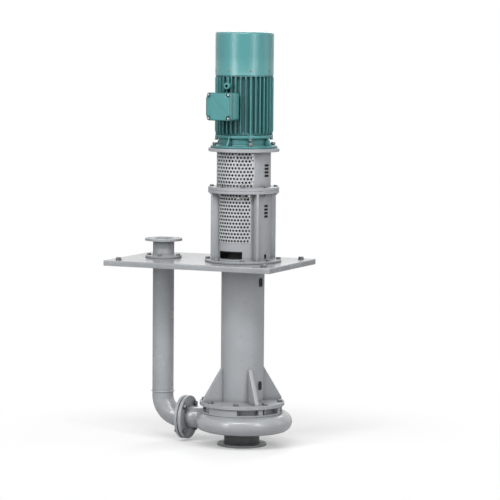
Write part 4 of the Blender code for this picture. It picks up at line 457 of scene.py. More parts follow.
def make_paint_skin():
    """Sprayed enamel: peel, faint tone drift, painted shade in corners, and light edges of wear and painted
    highlight.
    """
    tree, given, out = group("paint_skin", {
        "Colour": MID_GREY, "Worn and Highlit Colour": MID_GREY, "Roughness": 0.35, "Peel": 0.2, "Drift": 0.08,
        "Wear and Edge Highlight": 0.5, "Corner Shade": 0.3, "Stain": 0.1, "Streak": 0.0, "Shade and Stain Tint": (0.10, 0.10, 0.10, 1),
    })
    where = node(tree, "ShaderNodeTexCoord").outputs["Object"]
    drift = noise(tree, where, Scale=9.0, Detail=4.0)
    peel = noise(tree, where, Scale=190.0, Detail=2.5, Roughness=0.55)
    fine = noise(tree, where, Scale=900.0, Detail=2.0)
    chips = noise(tree, where, Scale=55.0, Detail=6.0, Roughness=0.7)
    spots = noise(tree, where, Scale=42.0, Detail=5.0, Roughness=0.6)
    streaks = noise(tree, scaled(tree, where, (6, 6, 120)), Scale=1.0, Detail=3.0)
    tone = math_of(tree, "MULTIPLY_ADD", drift, 2.0, -1.0)
    tone = math_of(tree, "MULTIPLY", tone, given["Drift"])
    tone = math_of(tree, "ADD", tone, 1.0)
    toned = mixed(tree, 1.0, given["Colour"], tone, "MULTIPLY")
    # Light edges: partly paint wear, partly a painted highlight on rounded edges.
    edge = node(tree, "ShaderNodeBevel", samples=4, Radius=0.0022)
    plain = node(tree, "ShaderNodeNewGeometry").outputs["Normal"]
    lean = node(tree, "ShaderNodeVectorMath", operation="DOT_PRODUCT")
    wire(tree, (edge.outputs["Normal"], lean.inputs[0]), (plain, lean.inputs[1]))
    turned_away = math_of(tree, "SUBTRACT", 1.0, lean.outputs["Value"])
    wear_and_edge_highlight = math_of(tree, "MULTIPLY", turned_away, 5.0)
    wear_and_edge_highlight = math_of(tree, "MULTIPLY", wear_and_edge_highlight, math_of(tree, "MULTIPLY_ADD", chips, 1.6, -0.2))
    wear_and_edge_highlight = math_of(tree, "MULTIPLY", wear_and_edge_highlight, given["Wear and Edge Highlight"])
    wear_and_edge_highlight = math_of(tree, "MINIMUM", wear_and_edge_highlight, 0.85)
    colour = mixed(tree, wear_and_edge_highlight, toned, given["Worn and Highlit Colour"])
    # Painted shade: corners, grooves and recesses darken towards the tint by how shut in they are.
    painted_shade = painted_corner_shade(tree, 0.026, given["Corner Shade"])
    dark = mixed(tree, 1.0, given["Colour"], given["Shade and Stain Tint"], "MULTIPLY")
    colour = mixed(tree, painted_shade, colour, dark)
    stained = math_of(tree, "MULTIPLY_ADD", spots, 7.0, -4.1)
    stained = math_of(tree, "MINIMUM", math_of(tree, "MAXIMUM", stained, 0.0), 1.0)
    stained = math_of(tree, "MULTIPLY", stained, given["Stain"])
    colour = mixed(tree, stained, colour, dark)
    rough = math_of(tree, "MULTIPLY_ADD", drift, 0.12, -0.06)
    rough = math_of(tree, "ADD", rough, given["Roughness"])
    rough = math_of(tree, "MULTIPLY_ADD", painted_shade, 0.4, rough)
    wire(tree, (colour, out["Colour"]), (rough, out["Roughness"]))
    height = math_of(tree, "MULTIPLY_ADD", fine, 0.12, peel)
    height = math_of(tree, "ADD", height, math_of(tree, "MULTIPLY", streaks, given["Streak"]))
    bump(tree, 0.0012, height, given["Peel"], out["Normal"])
    return tree


def make_metal_skin():
    """Bare or plated steel: fine turning marks, blotches of tone and painted shade in corners."""
    tree, given, out = group("metal_skin", {
        "Colour": MID_GREY, "Roughness": 0.35, "Marks": 0.2, "Corner Shade": 0.4,
    })
    where = node(tree, "ShaderNodeTexCoord").outputs["Object"]
    marks = noise(tree, scaled(tree, where, (60, 60, 1400)), Scale=1.0, Detail=3.0)
    blotch = noise(tree, where, Scale=70.0, Detail=4.0)
    tone = math_of(tree, "MULTIPLY_ADD", blotch, 0.5, 0.75)
    colour = mixed(tree, 1.0, given["Colour"], tone, "MULTIPLY")
    # Painted shade: corners and recesses darken towards near black.
    colour = mixed(tree, painted_corner_shade(tree, 0.012, given["Corner Shade"]), colour, (0.03, 0.03, 0.03, 1))
    rough = math_of(tree, "MULTIPLY_ADD", blotch, 0.25, given["Roughness"])
    rough = math_of(tree, "SUBTRACT", rough, 0.1)
    wire(tree, (colour, out["Colour"]), (rough, out["Roughness"]))
    bump(tree, 0.0003, marks, given["Marks"], out["Normal"])
    return tree


def finish_of(name, skin, values, metallic=0.0, coat=0.0, coat_roughness=0.1, specular=0.5):
    """A material: one skin group with its own values, feeding a Principled shader."""
    made = bpy.data.materials.new(name)
    made.use_nodes = True
    tree = made.node_tree
    shader = tree.nodes["Principled BSDF"].inputs
    shader["Metallic"].default_value = metallic
    shader["Coat Weight"].default_value = coat
    shader["Coat Roughness"].default_value = coat_roughness
    shader["Specular IOR Level"].default_value = specular
    worked = tree.nodes.new("ShaderNodeGroup")
    worked.node_tree = skin
    for key, value in values.items():
        worked.inputs[key].default_value = value
    for given, taken in (("Colour", "Base Color"), ("Roughness", "Roughness"), ("Normal", "Normal")):
        tree.links.new(worked.outputs[given], shader[taken])
    MAT[name] = made


def make_finishes():
    """All materials: each grey is the first grey with some values changed."""
    paint = make_paint_skin()
    metal = make_metal_skin()
    # In each paint, the corner value darkens shut-in places as painted shade, and the wear value lightens
    # edges as paint wear and painted highlight.
    grey = {
        "Colour": (0.305, 0.318, 0.335, 1), "Worn and Highlit Colour": (0.52, 0.54, 0.56, 1), "Roughness": 0.34,
        "Peel": 0.5, "Drift": 0.09, "Wear and Edge Highlight": 0.9, "Corner Shade": 0.8, "Stain": 0.14,
    }
    for name, changed, shine in (
        ("grey_paint", {}, {}),
        ("guard_grey", {"Colour": (0.41, 0.425, 0.44, 1), "Roughness": 0.28}, {}),
        ("cover_grey", {"Corner Shade": 0.35}, {}),
        # The pipe grey's strong light edges are mostly painted highlights on flange rims.
        ("pipe_grey", {
            "Worn and Highlit Colour": (0.62, 0.64, 0.66, 1), "Roughness": 0.26, "Peel": 0.45, "Wear and Edge Highlight": 1.8,
        }, {"coat": 0.3, "coat_roughness": 0.14}),
        ("cast_grey", {
            "Roughness": 0.24, "Peel": 0.55, "Streak": 3.0,
        }, {"coat": 0.4, "coat_roughness": 0.14}),
        ("pale_plate", {
            "Colour": (0.272, 0.283, 0.295, 1), "Roughness": 0.26, "Peel": 0.2, "Drift": 0.22, "Stain": 0.25,
        }, {"coat": 0.4, "coat_roughness": 0.12}),
        ("shaded_grey", {"Colour": (0.085, 0.09, 0.096, 1), "Worn and Highlit Colour": (0.34, 0.35, 0.36, 1)}, {}),
        # The suction flange's grey has light edges of paint wear and painted highlight.
        ("worn_highlit_grey", {
            "Colour": (0.27, 0.28, 0.29, 1), "Worn and Highlit Colour": (0.66, 0.67, 0.68, 1),
            "Wear and Edge Highlight": 1.6, "Corner Shade": 0.3, "Stain": 0.4,
        }, {}),
        # Near-black paint on the bearing housing and its covers: painted shade seen through the guard holes.
        ("housing_painted_shade", {
            "Colour": (0.022, 0.023, 0.024, 1), "Worn and Highlit Colour": (0.05, 0.05, 0.05, 1), "Roughness": 0.6,
        }, {"specular": 0.3}),
        # Near-black paint for inside walls and hole rims: painted shade.
        ("inner_painted_shade", {
            "Colour": (0.018, 0.018, 0.019, 1), "Worn and Highlit Colour": (0.03, 0.03, 0.03, 1), "Roughness": 0.7,
        }, {}),
    ):
        finish_of(name, paint, {**grey, **changed}, **shine)
    # The teal's strong corner darkening and dark teal tint are painted shade in the fin grooves and under the
    # box.
    teal = {
        "Colour": (0.061, 0.222, 0.227, 1), "Worn and Highlit Colour": (0.22, 0.47, 0.46, 1), "Roughness": 0.23,
        "Peel": 0.75, "Drift": 0.05, "Wear and Edge Highlight": 0.8, "Corner Shade": 1.2, "Stain": 0.04,
        "Shade and Stain Tint": (0.01, 0.13, 0.13, 1),
    }
    finish_of("teal_paint", paint, teal, coat=0.05, coat_roughness=0.22)
    for name, shade, roughness, marks, grime, metallic in (
        ("zinc", (0.23, 0.235, 0.24), 0.40, 0.15, 0.9, 0.85),
        ("bright_steel", (0.62, 0.63, 0.64), 0.32, 0.1, 0.3, 0.9),
        ("steel", (0.55, 0.56, 0.57), 0.25, 0.25, 0.3, 1.0),
        ("copper", (0.48, 0.21, 0.10), 0.4, 0.6, 0.4, 0.8),
        ("dark_iron", (0.10, 0.10, 0.105), 0.5, 0.3, 0.5, 0.4),
        ("rubber", (0.03, 0.03, 0.03), 0.65, 0.2, 0.3, 0.0),
        ("spider_rubber", (0.05, 0.05, 0.05), 0.55, 0.1, 0.3, 0.0),
        ("dark_plastic", (0.045, 0.045, 0.05), 0.5, 0.1, 0.3, 0.0),
    ):
        values = {"Colour": (*shade, 1), "Roughness": roughness, "Marks": marks, "Corner Shade": grime}
        finish_of(name, metal, values, metallic=metallic)


def mesh_of(name, shell, outward=True):
    """A mesh from a shell, with its normals turned to point out unless it is a skin that gets a wall."""
    points, faces = shell
    mesh = bpy.data.meshes.new(name)
    mesh.from_pydata(points.tolist(), [], faces)
    if outward:
        shape = bmesh.new()
        shape.from_mesh(mesh)
        bmesh.ops.recalc_face_normals(shape, faces=shape.faces)
        shape.to_mesh(mesh)
        shape.free()
    return mesh


def linked(name, data):
    """An object of that name and data, in the scene."""
    obj = bpy.data.objects.new(name, data)
    bpy.context.scene.collection.objects.link(obj)
    return obj


def evaluated(obj):
    """A new mesh with the object's modifiers worked in."""
    bpy.context.view_layer.update()
    graph = bpy.context.evaluated_depsgraph_get()
    return bpy.data.meshes.new_from_object(obj.evaluated_get(graph))


def piece(name, shell, finish, stands_for=(), body="stand", wall=0.0, inside=None, sharp=32):
    """One object from a shell: normals out, smooth but for its edges, and a wall where it is a skin."""
    mesh = mesh_of(name, shell, not wall)
    mesh.materials.append(MAT[finish])
    obj = linked(name, mesh)
    if wall:
        solid = obj.modifiers.new("wall", "SOLIDIFY")
        solid.thickness = wall
        solid.offset = -1
        # The inner face and rims take the inside finish, near-black painted shade wherever it is given.
        if inside:
            mesh.materials.append(MAT[inside])
            solid.material_offset = 1
            solid.material_offset_rim = 1
        mesh = evaluated(obj)
        obj.modifiers.clear()
        obj.data = mesh
    mesh.shade_smooth()
    mesh.set_sharp_from_angle(angle=math.radians(sharp))
    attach(obj, body)
    if stands_for:
        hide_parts(*stands_for)


def dress_nodes():
    """Every node that stays gets the finish of its record slot; the bearing housing and covers are near-black
    painted shade.
    """
    shade_painted_nodes = ("bearing_housing", "lower_bearing_cover", "upper_bearing_cover")
    for entry in frame["record"]["subparts"]:
        finish = "housing_painted_shade" if entry["node"] in shade_painted_nodes else entry["material_slot"]
        materials = NODES[entry["node"]].data.materials
        materials.clear()
        materials.append(MAT[finish])


# Wet end


def make_suction_cover():
    """The dark neck with its bolted flange: a turned profile, its rim pierced as a sheet of cells."""
    corners = [
        (0.099, 0.0935, 0.001), (0.099, 0.0782, 0), (0.115, 0.0782, 0.0015), (0.115, 0.0682, 0.0015),
        (0.094, 0.0682, 0.004), (0.094, 0.012, 0.005), (0.100, 0.012, 0.0), (0.100, 0.0, 0.0),
        (0.075, 0.0, 0.001), (0.075, 0.0935, 0.001),
    ]
    neck = turned(eased(corners, True))
    rim = pierced_flange(0.131, 0.099, 0.0, 0.012, 0.1125, 4, 22.5, 0.009)
    piece("suction_neck", neck, "shaded_grey", ["suction_cover"])
    piece("suction_flange", rim, "worn_highlit_grey")


def pierced_flange(outer, inner, low, high, circle, count, start, hole):
    """A flat ring with bolt holes: two faces of cells with round holes, the holes' walls and eased edges.

    A hole's two cells are cut into steps of at most 4 degrees, and it takes the first two steps. So each hole
    in a face lies a step or more before its wall, and is narrower.
    """
    centres = [start + k * 360 / count for k in range(count)]
    half_cell = math.degrees((hole + 0.004) / circle)
    keys = [centre + side * half_cell for centre in centres for side in (-1, 0, 1)]
    keys.append(keys[0] + 360)
    degrees = breaks(keys, 4.0)
    ease = 0.0028
    radii = np.array([inner, circle - hole - 0.002, circle + hole + 0.002, outer - ease])
    holes = [(1, int(np.argmin(np.abs(degrees - (centre - half_cell))))) for centre in centres]
    top = sheet(np.stack([radii, 0 * radii + high], 1)[::-1], degrees, (), holes, hole)
    flipped = sheet(np.stack([radii, 0 * radii + low], 1), degrees, (), holes, hole)
    edge = eased([
        (outer - ease, high, 0), (outer, high, ease), (outer, low, ease), (outer - ease, low, 0),
    ], False)
    lattice = np.radians(degrees[:-1])
    skins = [top, flipped]
    for profile in (edge, np.array([(inner, low), (inner, high)])):
        skins.append((swept(profile, lattice), cells_of(len(profile), len(lattice))))
    for centre in centres:
        reach = circle + hole * np.sin(HOLE_RIM)
        swing = math.radians(centre) + hole * np.cos(HOLE_RIM) / circle
        x, y = reach * np.cos(swing), reach * np.sin(swing)
        wall = [np.stack([x, y, 0 * x + z], 1) for z in (low, high)]
        skins.append((np.concatenate(wall), cells_of(2, len(HOLE_RIM))))
    return welded(*merged(*skins))


def welded(points, faces):
    """The same shell with points that share a place made one, so that skins join into a closed surface."""
    _, first, index = np.unique(np.round(points, 6), axis=0, return_index=True, return_inverse=True)
    index = index.reshape(-1)
    return points[first], [[int(index[k]) for k in face] for face in faces]


def volute_centre(turn_share):
    """The middle of the volute's section: its reach from the shaft grows evenly with the angle."""
    a = np.radians(170 + 310 * turn_share)
    reach = 0.205 + 0.016 * turn_share
    return np.stack([reach * np.cos(a), reach * np.sin(a), 0 * a + LINE_Z], -1)


def neck_path():
    """The bend from the volute's end to the straight neck: a cubic curve between two headings."""
    a = math.radians(480)
    start = volute_centre(np.array([1.0]))[0]
    heading = np.array([-math.sin(a), math.cos(a), 0])
    end = np.array([-0.295, 0, LINE_Z])
    after_start, before_end = start + 0.09 * heading, end + [0.09, 0, 0]
    t = np.linspace(0, 1, 28)[:, None]
    u = 1 - t
    curve = u**3 * start + 3 * t * u**2 * after_start + 3 * t**2 * u * before_end + t**3 * end
    straight = [[-0.302, 0, LINE_Z], [-0.317, 0, LINE_Z]]
    return np.concatenate([volute_centre(np.array([0.94, 0.97])), curve, straight])


def make_casing():
    """The volute as one casting: spiral, neck and body fused by a fine remesh, so their joints are soft."""
    share = np.linspace(-0.04, 1.04, 120)
    swell = np.clip(share, 0, 1)
    beyond = share != swell
    spiral = carried(volute_centre(share), (0.0425 + 0.0125 * swell) * np.where(beyond, 0.85, 1), UP, 64)
    path = neck_path()
    grown = np.concatenate([[0.05, 0.053], np.linspace(0.054, 0.058, len(path) - 4), [0.058, 0.058]])
    neck = carried(path, grown, UP, 64)
    body = turned(eased([
        (0, 0.177, 0), (0.2165, 0.177, 0.002), (0.2165, 0.150, 0.004), (0.190, 0.0785, 0.006), (0, 0.0785, 0),
    ], False), False)
    fused = linked("casing", mesh_of("casing", merged(spiral, neck, body)))
    remesh = fused.modifiers.new("fuse", "REMESH")
    remesh.mode = "VOXEL"
    remesh.voxel_size = 0.0036
    smooth = fused.modifiers.new("soften", "CORRECTIVE_SMOOTH")
    smooth.iterations = 8
    smooth.use_only_smooth = True
    passage = carried(volute_centre(share), (0.030 + 0.012 * swell) * np.where(beyond, 0.8, 1), UP, 32)
    bore_path = np.concatenate([path[:-1], [[-0.36, 0, LINE_Z]]])
    bore_radii = np.concatenate([[0.036, 0.040], np.linspace(0.041, 0.0505, len(path) - 3), [0.0505]])
    bore = carried(bore_path, bore_radii, UP, 32)
    chamber = turned([
        (0, 0.30), (0.18, 0.30), (0.18, 0.0935), (0.0993, 0.0935), (0.0993, 0.06), (0, 0.06),
    ], False)
    hollow = linked("casing_hollow", mesh_of("casing_hollow", merged(passage, bore, chamber)))
    cut = fused.modifiers.new("hollow", "BOOLEAN")
    cut.object = hollow
    cut.operation = "DIFFERENCE"
    cut.solver = "EXACT"
    cut.use_self = True
    made = evaluated(fused)
    points = np.array([v.co for v in made.vertices])
    faces = [list(p.vertices) for p in made.polygons]
    bpy.data.objects.remove(fused)
    bpy.data.objects.remove(hollow)
    piece("volute", (points, faces), "cast_grey", sharp=60)
    flange = pierced_flange(LINE_FLANGE, 0.0505, 0.0, 0.0172, LINE_CIRCLE, 4, 45, 0.0085)
    piece("neck_flange", placed(flange, towards_left(-0.308, LINE_Z)), "pipe_grey", ["volute_casing"])


def make_casing_cover():
    """The cover's plate and drum, the solid pad at the front left and the posts between its windows."""
    drum = turned(eased([
        (0.2155, 0.1853, 0.001), (0.2155, 0.1773, 0.001), (0.1797, 0.1773, 0), (0.1797, 0.163, 0.001),
        (0.036, 0.163, 0.001), (0.036, 0.1703, 0), (0.055, 0.1703, 0), (0.055, 0.2162, 0.001),
        (0.184, 0.2162, 0.001), (0.184, 0.1853, 0.004),
    ], True))
    blocks = [drum]
    for start, width in cover_posts():
        a = np.radians(np.linspace(start, start + width, max(3, int(width / 3))))
        reach = 0.2000 if 20 < width < 40 else 0.2155
        outer = np.stack([reach * np.cos(a), reach * np.sin(a)], 1)
        inner = np.stack([0.168 * np.cos(a), 0.168 * np.sin(a)], 1)[::-1]
        blocks.append(raised(np.concatenate([outer, inner]), 0.184, 0.2162, 0.0025))
    piece("cover", merged(*blocks), "cover_grey", ["casing_cover"])


def cover_posts():
    """The solid stretches between the windows: (start, width) in degrees."""
    first, pitch, window = -73.0, 37.5, 31
    pad_start, pad_width = -119.0, 46.0
    posts = [(first + k * pitch + window, 6.5) for k in range(7)]
    last = first + 7 * pitch + window
    return [*posts, (last, pad_start + 360 - last), (pad_start, pad_width)]


def make_column():
    """Column pipe with its two slots, flange, four gussets and the weld beads between them.

    The lattice has steps of at most 3.2 degrees, so the slots lie two steps before VENT_ANGLE and are narrow.
    """
    half = 6.5
    sides = [VENT_ANGLE + half * k for k in (-1, 0, 1)]
    degrees = breaks([*sides, sides[0] + 360], 3.2)
    heights = breaks([0.2365, 0.296, 0.356, 0.844, 0.904, 0.9795], 0.15)
    rows = [int(np.argmin(np.abs(heights - z))) for z in (0.296, 0.844)]
    profile = np.stack([0 * heights + COLUMN_RADIUS, heights], 1)
    pipe = sheet(profile, degrees, (), [(k, 0) for k in rows], 0.010, 0.0125)
    # The pipe's inside and slot edges are near-black painted shade.
    piece("column_tube", pipe, "grey_paint", ["column_pipe"], wall=0.007, inside="inner_painted_shade")
    flange = ring(0.225, 0.107, 0.2165, 0.2365, 0.002)
    gusset = eased([
        (0.110, 0.2350, 0), (0.222, 0.2350, 0), (0.222, 0.2480, 0.003),
        (0.1185, 0.4165, 0.004), (0.110, 0.4165, 0),
    ], True, 3)
    stiffeners = [placed(raised(gusset, 0, 0.022, 0.0022), upright(45 + 90 * k, 0.022)) for k in range(4)]
    beads = [weld(COLUMN_RADIUS, 0.2375, 0.0035), weld(COLUMN_RADIUS, 0.9495, 0.0030)]
    piece("column_foot", merged(flange, *stiffeners, *beads), "grey_paint")


def make_casing_bolts():
    """The eight bolts through column flange, cover and casing."""
    one = bolt(0.016, shank=0.072)
    bolts = around(placed(one, shift(0.203, 0, 0.2365)), 8, 15)
    piece("casing_bolts", bolts, "zinc", [f"casing_bolt_{k}" for k in range(1, 9)])


# Sole plate and discharge line


def make_sole_plate():
    """The rectangular plate with a bolt near each corner, each head turned a little further than the last."""
    outline = [(-0.67, -0.31, 0.003), (0.287, -0.31, 0.003), (0.287, 0.31, 0.003), (-0.67, 0.31, 0.003)]
    plate = raised(eased(outline, True, 3), PLATE_FOOT_Z, PLATE_TOP_Z, 0.0014)
    piece("sole_plate", plate, "pale_plate", ["base_plate"])
    one = bolt(0.018)
    corners = [(-0.61, -0.25), (-0.61, 0.25), (0.227, -0.25), (0.227, 0.25)]
    places = [shift(x, y, PLATE_TOP_Z) @ turn(17 * k) for k, (x, y) in enumerate(corners)]
    piece("plate_bolts", merged(*[placed(one, place) for place in places]), "zinc")


def bent_pipe():
    """The elbow: an outer and an inner skin along a quarter bend, joined by a ring of faces at each end."""
    radius, sides = 0.110, 64
    a = np.linspace(0, math.pi / 2, 40)
    bend = np.stack([-0.357 - radius * np.sin(a), 0 * a, 0.237 - radius * np.cos(a)], 1)
    level = [[-0.336, 0, LINE_Z], [-0.346, 0, LINE_Z]]
    path = np.concatenate([level, bend, [[RISER_X, 0, 0.2485], [RISER_X, 0, 0.26]]])
    skins = [carried(path, np.full(len(path), r), (0, 1, 0), sides, False) for r in (PIPE_RADIUS, PIPE_BORE)]
    points, faces = merged(*skins)
    k = np.arange(sides)
    ahead = (k + 1) % sides
    for row in (0, len(path) - 1):
        outer, inner = row * sides, (len(path) + row) * sides
        faces += np.stack([outer + k, outer + ahead, inner + ahead, inner + k], 1).tolist()
    return points, faces


def make_discharge():
    """Elbow, riser, flanges, collar, the gasket, and a rubber ring that paints the shade in the gap between
    the flanges.
    """
    on_riser = shift(RISER_X, 0, 0)
    # The inner ring is the gasket; the thin ring near the flanges' rims is painted shade, a dark band filling
    # the gap.
    gasket = merged(ring(0.084, 0.0505, 0.0, 0.0024, 0.0), ring(0.1095, 0.1030, -0.0010, 0.0034, 0.0))
    piece("line_gasket", placed(gasket, towards_left(-0.3268, LINE_Z)), "rubber", ["flange_gasket"])
    flange = pierced_flange(LINE_FLANGE, 0.050, 0.0013, 0.0165, LINE_CIRCLE, 4, 45, 0.0085)
    front = placed(flange, towards_left(-0.3295, LINE_Z))
    beads = [
        placed(weld(PIPE_RADIUS, 0, 0.003), towards_left(-0.3465, LINE_Z)),
        placed(weld(PIPE_RADIUS, 0.2602, 0.0044), on_riser),
    ]
    piece("elbow", merged(front, bent_pipe(), *beads), "pipe_grey", ["discharge_elbow"])
    riser = placed(ring(PIPE_RADIUS, PIPE_BORE, 0.2603, 1.0835, 0.0012), on_riser)
    beads = placed(merged(weld(PIPE_RADIUS, 1.0705, 0.003), weld(PIPE_RADIUS, 0.993, 0.003)), on_riser)
    piece("riser", merged(riser, beads), "pipe_grey", ["discharge_riser"])
    top = placed(pierced_flange(0.0998, 0.0574, 1.071, 1.0835, 0.080, 4, 45, 0.009), on_riser)
    piece("riser_top_flange", top, "grey_paint", ["riser_flange"])
    collar = placed(ring(0.097, 0.0574, 0.9803, 0.9923, 0.0015), on_riser)
    piece("collar", collar, "grey_paint", ["riser_collar"])
    bolts = placed(around(placed(bolt(0.012), shift(0.081, 0, 0.9923)), 4, 11), on_riser)
    piece("collar_bolts", bolts, "zinc")
    one = bolt(0.016, shank=0.055, nut_at=0.0377)
    bolts = around(placed(one, shift(LINE_CIRCLE, 0, 0)), 4, 45)
    bolts = placed(bolts, shift(-0.308, 0, LINE_Z) @ Matrix.Rotation(math.pi / 2, 4, "Y"))
    piece("line_bolts", bolts, "zinc", [f"line_bolt_{k}" for k in range(1, 5)])


# Lantern


def tube_with_windows(low, high, windows, vent_z):
    """The lantern's tube as a sheet of cells, without the cells of its windows and with eight vents.

    The lattice has steps of at most 3.2 degrees, so each vent lies a step or two before its place and is cut
    off at the sides of the two steps that it takes.
    """
    pitch = 0.0182
    half = math.degrees(pitch / 2 / TUBE_RADIUS)
    columns = [VENT_ANGLE + half * k for k in (-2, -1, 0, 1, 2)]
    keys = list(columns)
    for start, end, _, _ in windows:
        keys += [(edge - columns[0]) % 360 + columns[0] for edge in (start, end)]
    degrees = breaks([*keys, columns[0] + 360], 3.2)
    rows = [vent_z + pitch * (k - 2) for k in range(5)]
    keys = [low, high, *rows]
    for _, _, bottom, top in windows:
        keys += [bottom, top]
    heights = breaks(keys, 0.2)
    middle_a = (degrees[1:] + degrees[:-1]) / 2
    middle_z = (heights[1:] + heights[:-1]) / 2
    gone = np.zeros((len(middle_z), len(middle_a)), bool)
    for start, end, bottom, top in windows:
        inside_a = (middle_a - start) % 360 < (end - start)
        gone |= inside_a[None] & ((middle_z > bottom) & (middle_z < top))[:, None]
    holes = [
        (int(np.argmin(np.abs(heights - z))), int(np.argmin(np.abs(degrees - columns[k]))))
        for z in rows[:4] for k in (0, 2)
    ]
    return sheet(np.stack([0 * heights + TUBE_RADIUS, heights], 1), degrees, gone, holes, 0.0064)


def guard(centre, width, low, high, rows, half_columns):
    """A perforated guard: rows of round holes, each second row half a pitch along."""
    degrees = np.linspace(centre - width / 2, centre + width / 2, half_columns + 1)
    heights = np.linspace(low, high, rows + 1)
    holes = [(row, column) for row in range(rows) for column in range(row % 2, half_columns - 1, 2)]
    return sheet(np.stack([0 * heights + GUARD_RADIUS, heights], 1), degrees, (), holes, 0.0063)


def make_lantern():
    """Both stages: a tube with windows between rings, four posts below, and a guard over each window."""
    # The tubes' insides and the edges of windows and vents are near-black painted shade.
    lower = tube_with_windows(
        0.9925, 1.3445,
        [(-125.6, -52.4, 1.093, 1.3409), (54.4, 127.6, 1.093, 1.3409),
         (-125, -68, 1.003, 1.042), (68, 125, 1.003, 1.042), (-15.3178, -8, 1.001, 1.024)], 1.251,
    )
    piece("lower_tube", lower, "grey_paint", ["lower_lantern"], wall=0.0045, inside="inner_painted_shade")
    post = [(0.140, -0.007, 0), (0.1855, -0.007, 0.003), (0.1855, 0.007, 0.003), (0.140, 0.007, 0)]
    post = raised(eased(post, True, 3), 0.990, 1.3460, 0.0005)
    foot = ring(0.202, 0.133, 0.9803, 0.993, 0.0024)
    middle = ring(RING_RADIUS, RING_BORE, 1.3442, 1.36, 0.0020)
    beads = merged(weld(TUBE_RADIUS, 0.9938, 0.003), weld(TUBE_RADIUS, 1.3434, 0.0025))
    piece("lower_rings", merged(foot, middle, beads, around(post, 4, -42)), "grey_paint")
    upper = tube_with_windows(
        1.376, 1.5618, [(-138.6, -45.4, 1.3814, 1.5566), (41.4, 134.6, 1.3814, 1.5566)], 1.4645,
    )
    piece("upper_tube", upper, "grey_paint", ["upper_lantern"], wall=0.0045, inside="inner_painted_shade")
    lower_ring = ring(RING_RADIUS, RING_BORE, 1.3603, 1.3761, 0.0020)
    carrier = ring(RING_RADIUS, 0.125, 1.5616, 1.5796, 0.0022)
    beads = merged(weld(TUBE_RADIUS, 1.3769, 0.0025), weld(TUBE_RADIUS, 1.5608, 0.0025))
    piece("upper_rings", merged(lower_ring, carrier, beads), "grey_paint")
    low_size, high_size = (78, 1.0881, 1.3439, 14, 23), (98, 1.3764, 1.5613, 10, 27)
    for name, centre, size in (
        ("lower_front_guard", -89, low_size), ("lower_rear_guard", 91, low_size),
        ("upper_front_guard", -92, high_size), ("upper_rear_guard", 88, high_size),
    ):
        # Hole walls and back faces are near-black painted shade.
        piece(name + "_mesh", guard(centre, *size), "guard_grey", [name], wall=0.0015, inside="inner_painted_shade")
    base_circle, ring_circle = 0.187, 0.168
    base = around(placed(bolt(0.014), shift(base_circle, 0, 0.993)), 8, 22.5)
    pair = around(placed(bolt(0.012, nut_at=0.032), shift(ring_circle, 0, 1.3761)), 8, 22.5)
    piece("lantern_bolts", merged(base, pair), "zinc")


# Motor


def make_endshield():
    """Flange, cone, ribs and band, with the bearing seat inside."""
    shield = turned(eased([
        (0.148, 1.6481, 0.002), (0.148, 1.6341, 0.003), (0.1316, 1.6291, 0.006), (0.1310, 1.5926, 0.006),
        (0.1755, 1.5926, 0.0025), (0.1755, 1.5799, 0.002), (0.1247, 1.5799, 0), (0.1247, 1.5754, 0.001),
        (0.022, 1.5754, 0.001), (0.022, 1.5926, 0), (0.045, 1.5926, 0), (0.045, 1.6196, 0),
        (0.1148, 1.6246, 0), (0.1198, 1.6481, 0),
    ], True))
    rib = eased([
        (0.126, 1.5916, 0), (0.1705, 1.5916, 0), (0.1705, 1.5950, 0.003),
        (0.1480, 1.6390, 0.002), (0.126, 1.6390, 0),
    ], True, 3)
    ribs = [placed(raised(rib, 0, 0.008, 0.0022), upright(MOTOR_FRONT + 90 * k, 0.008)) for k in range(4)]
    lug = eased([
        (0.140, -0.013, 0), (0.1545, -0.011, 0.006), (0.1545, 0.011, 0.006), (0.140, 0.013, 0),
    ], True, 4)
    lugs = around(raised(lug, 1.6305, 1.6481, 0.002), 4, LUG_ANGLE)
    bosses = around(raised(lug * [1.06, 1.1] + [0.003, 0], 1.5900, 1.5985, 0.0015), 4, LUG_ANGLE)
    piece("motor_endshield", merged(shield, *ribs, lugs, bosses), "teal_paint", ["drive_endshield"])
    bolts = around(placed(bolt(0.014), shift(0.158, 0, 1.5985)), 4, LUG_ANGLE)
    ties = around(placed(bolt(0.0105), hanging(0.1475, 0, 1.6305)), 4, LUG_ANGLE)
    piece("motor_bolts", merged(bolts, ties), "zinc")


def fin_outline():
    """The frame's section: each fin is a half-round tip between two hollows, thicker at the four lugs."""
    tip, root = 0.154, 0.1310
    gap = [[root, math.radians(FIN_PITCH) / 2]]
    a = np.linspace(-math.pi / 2, math.pi / 2, 7)
    out = []
    for k in range(FINS):
        centre = math.radians(LUG_ANGLE - 90 + FIN_PITCH * k)
        half = 0.0048 if k % 9 == 0 else 0.00235
        reach = tip - half * 0.8 + half * 0.8 * np.cos(a)
        swing = half * np.sin(a) / tip
        shoulder = np.array([[root + 0.0012, -half * 1.9 / root], [root + 0.006, -half * 1.25 / root]])
        polar = np.concatenate([shoulder, np.stack([reach, swing], 1), shoulder[::-1] * [1, -1], gap])
        out.append(np.stack([polar[:, 0], centre + polar[:, 1]], 1))
    return np.concatenate(out)


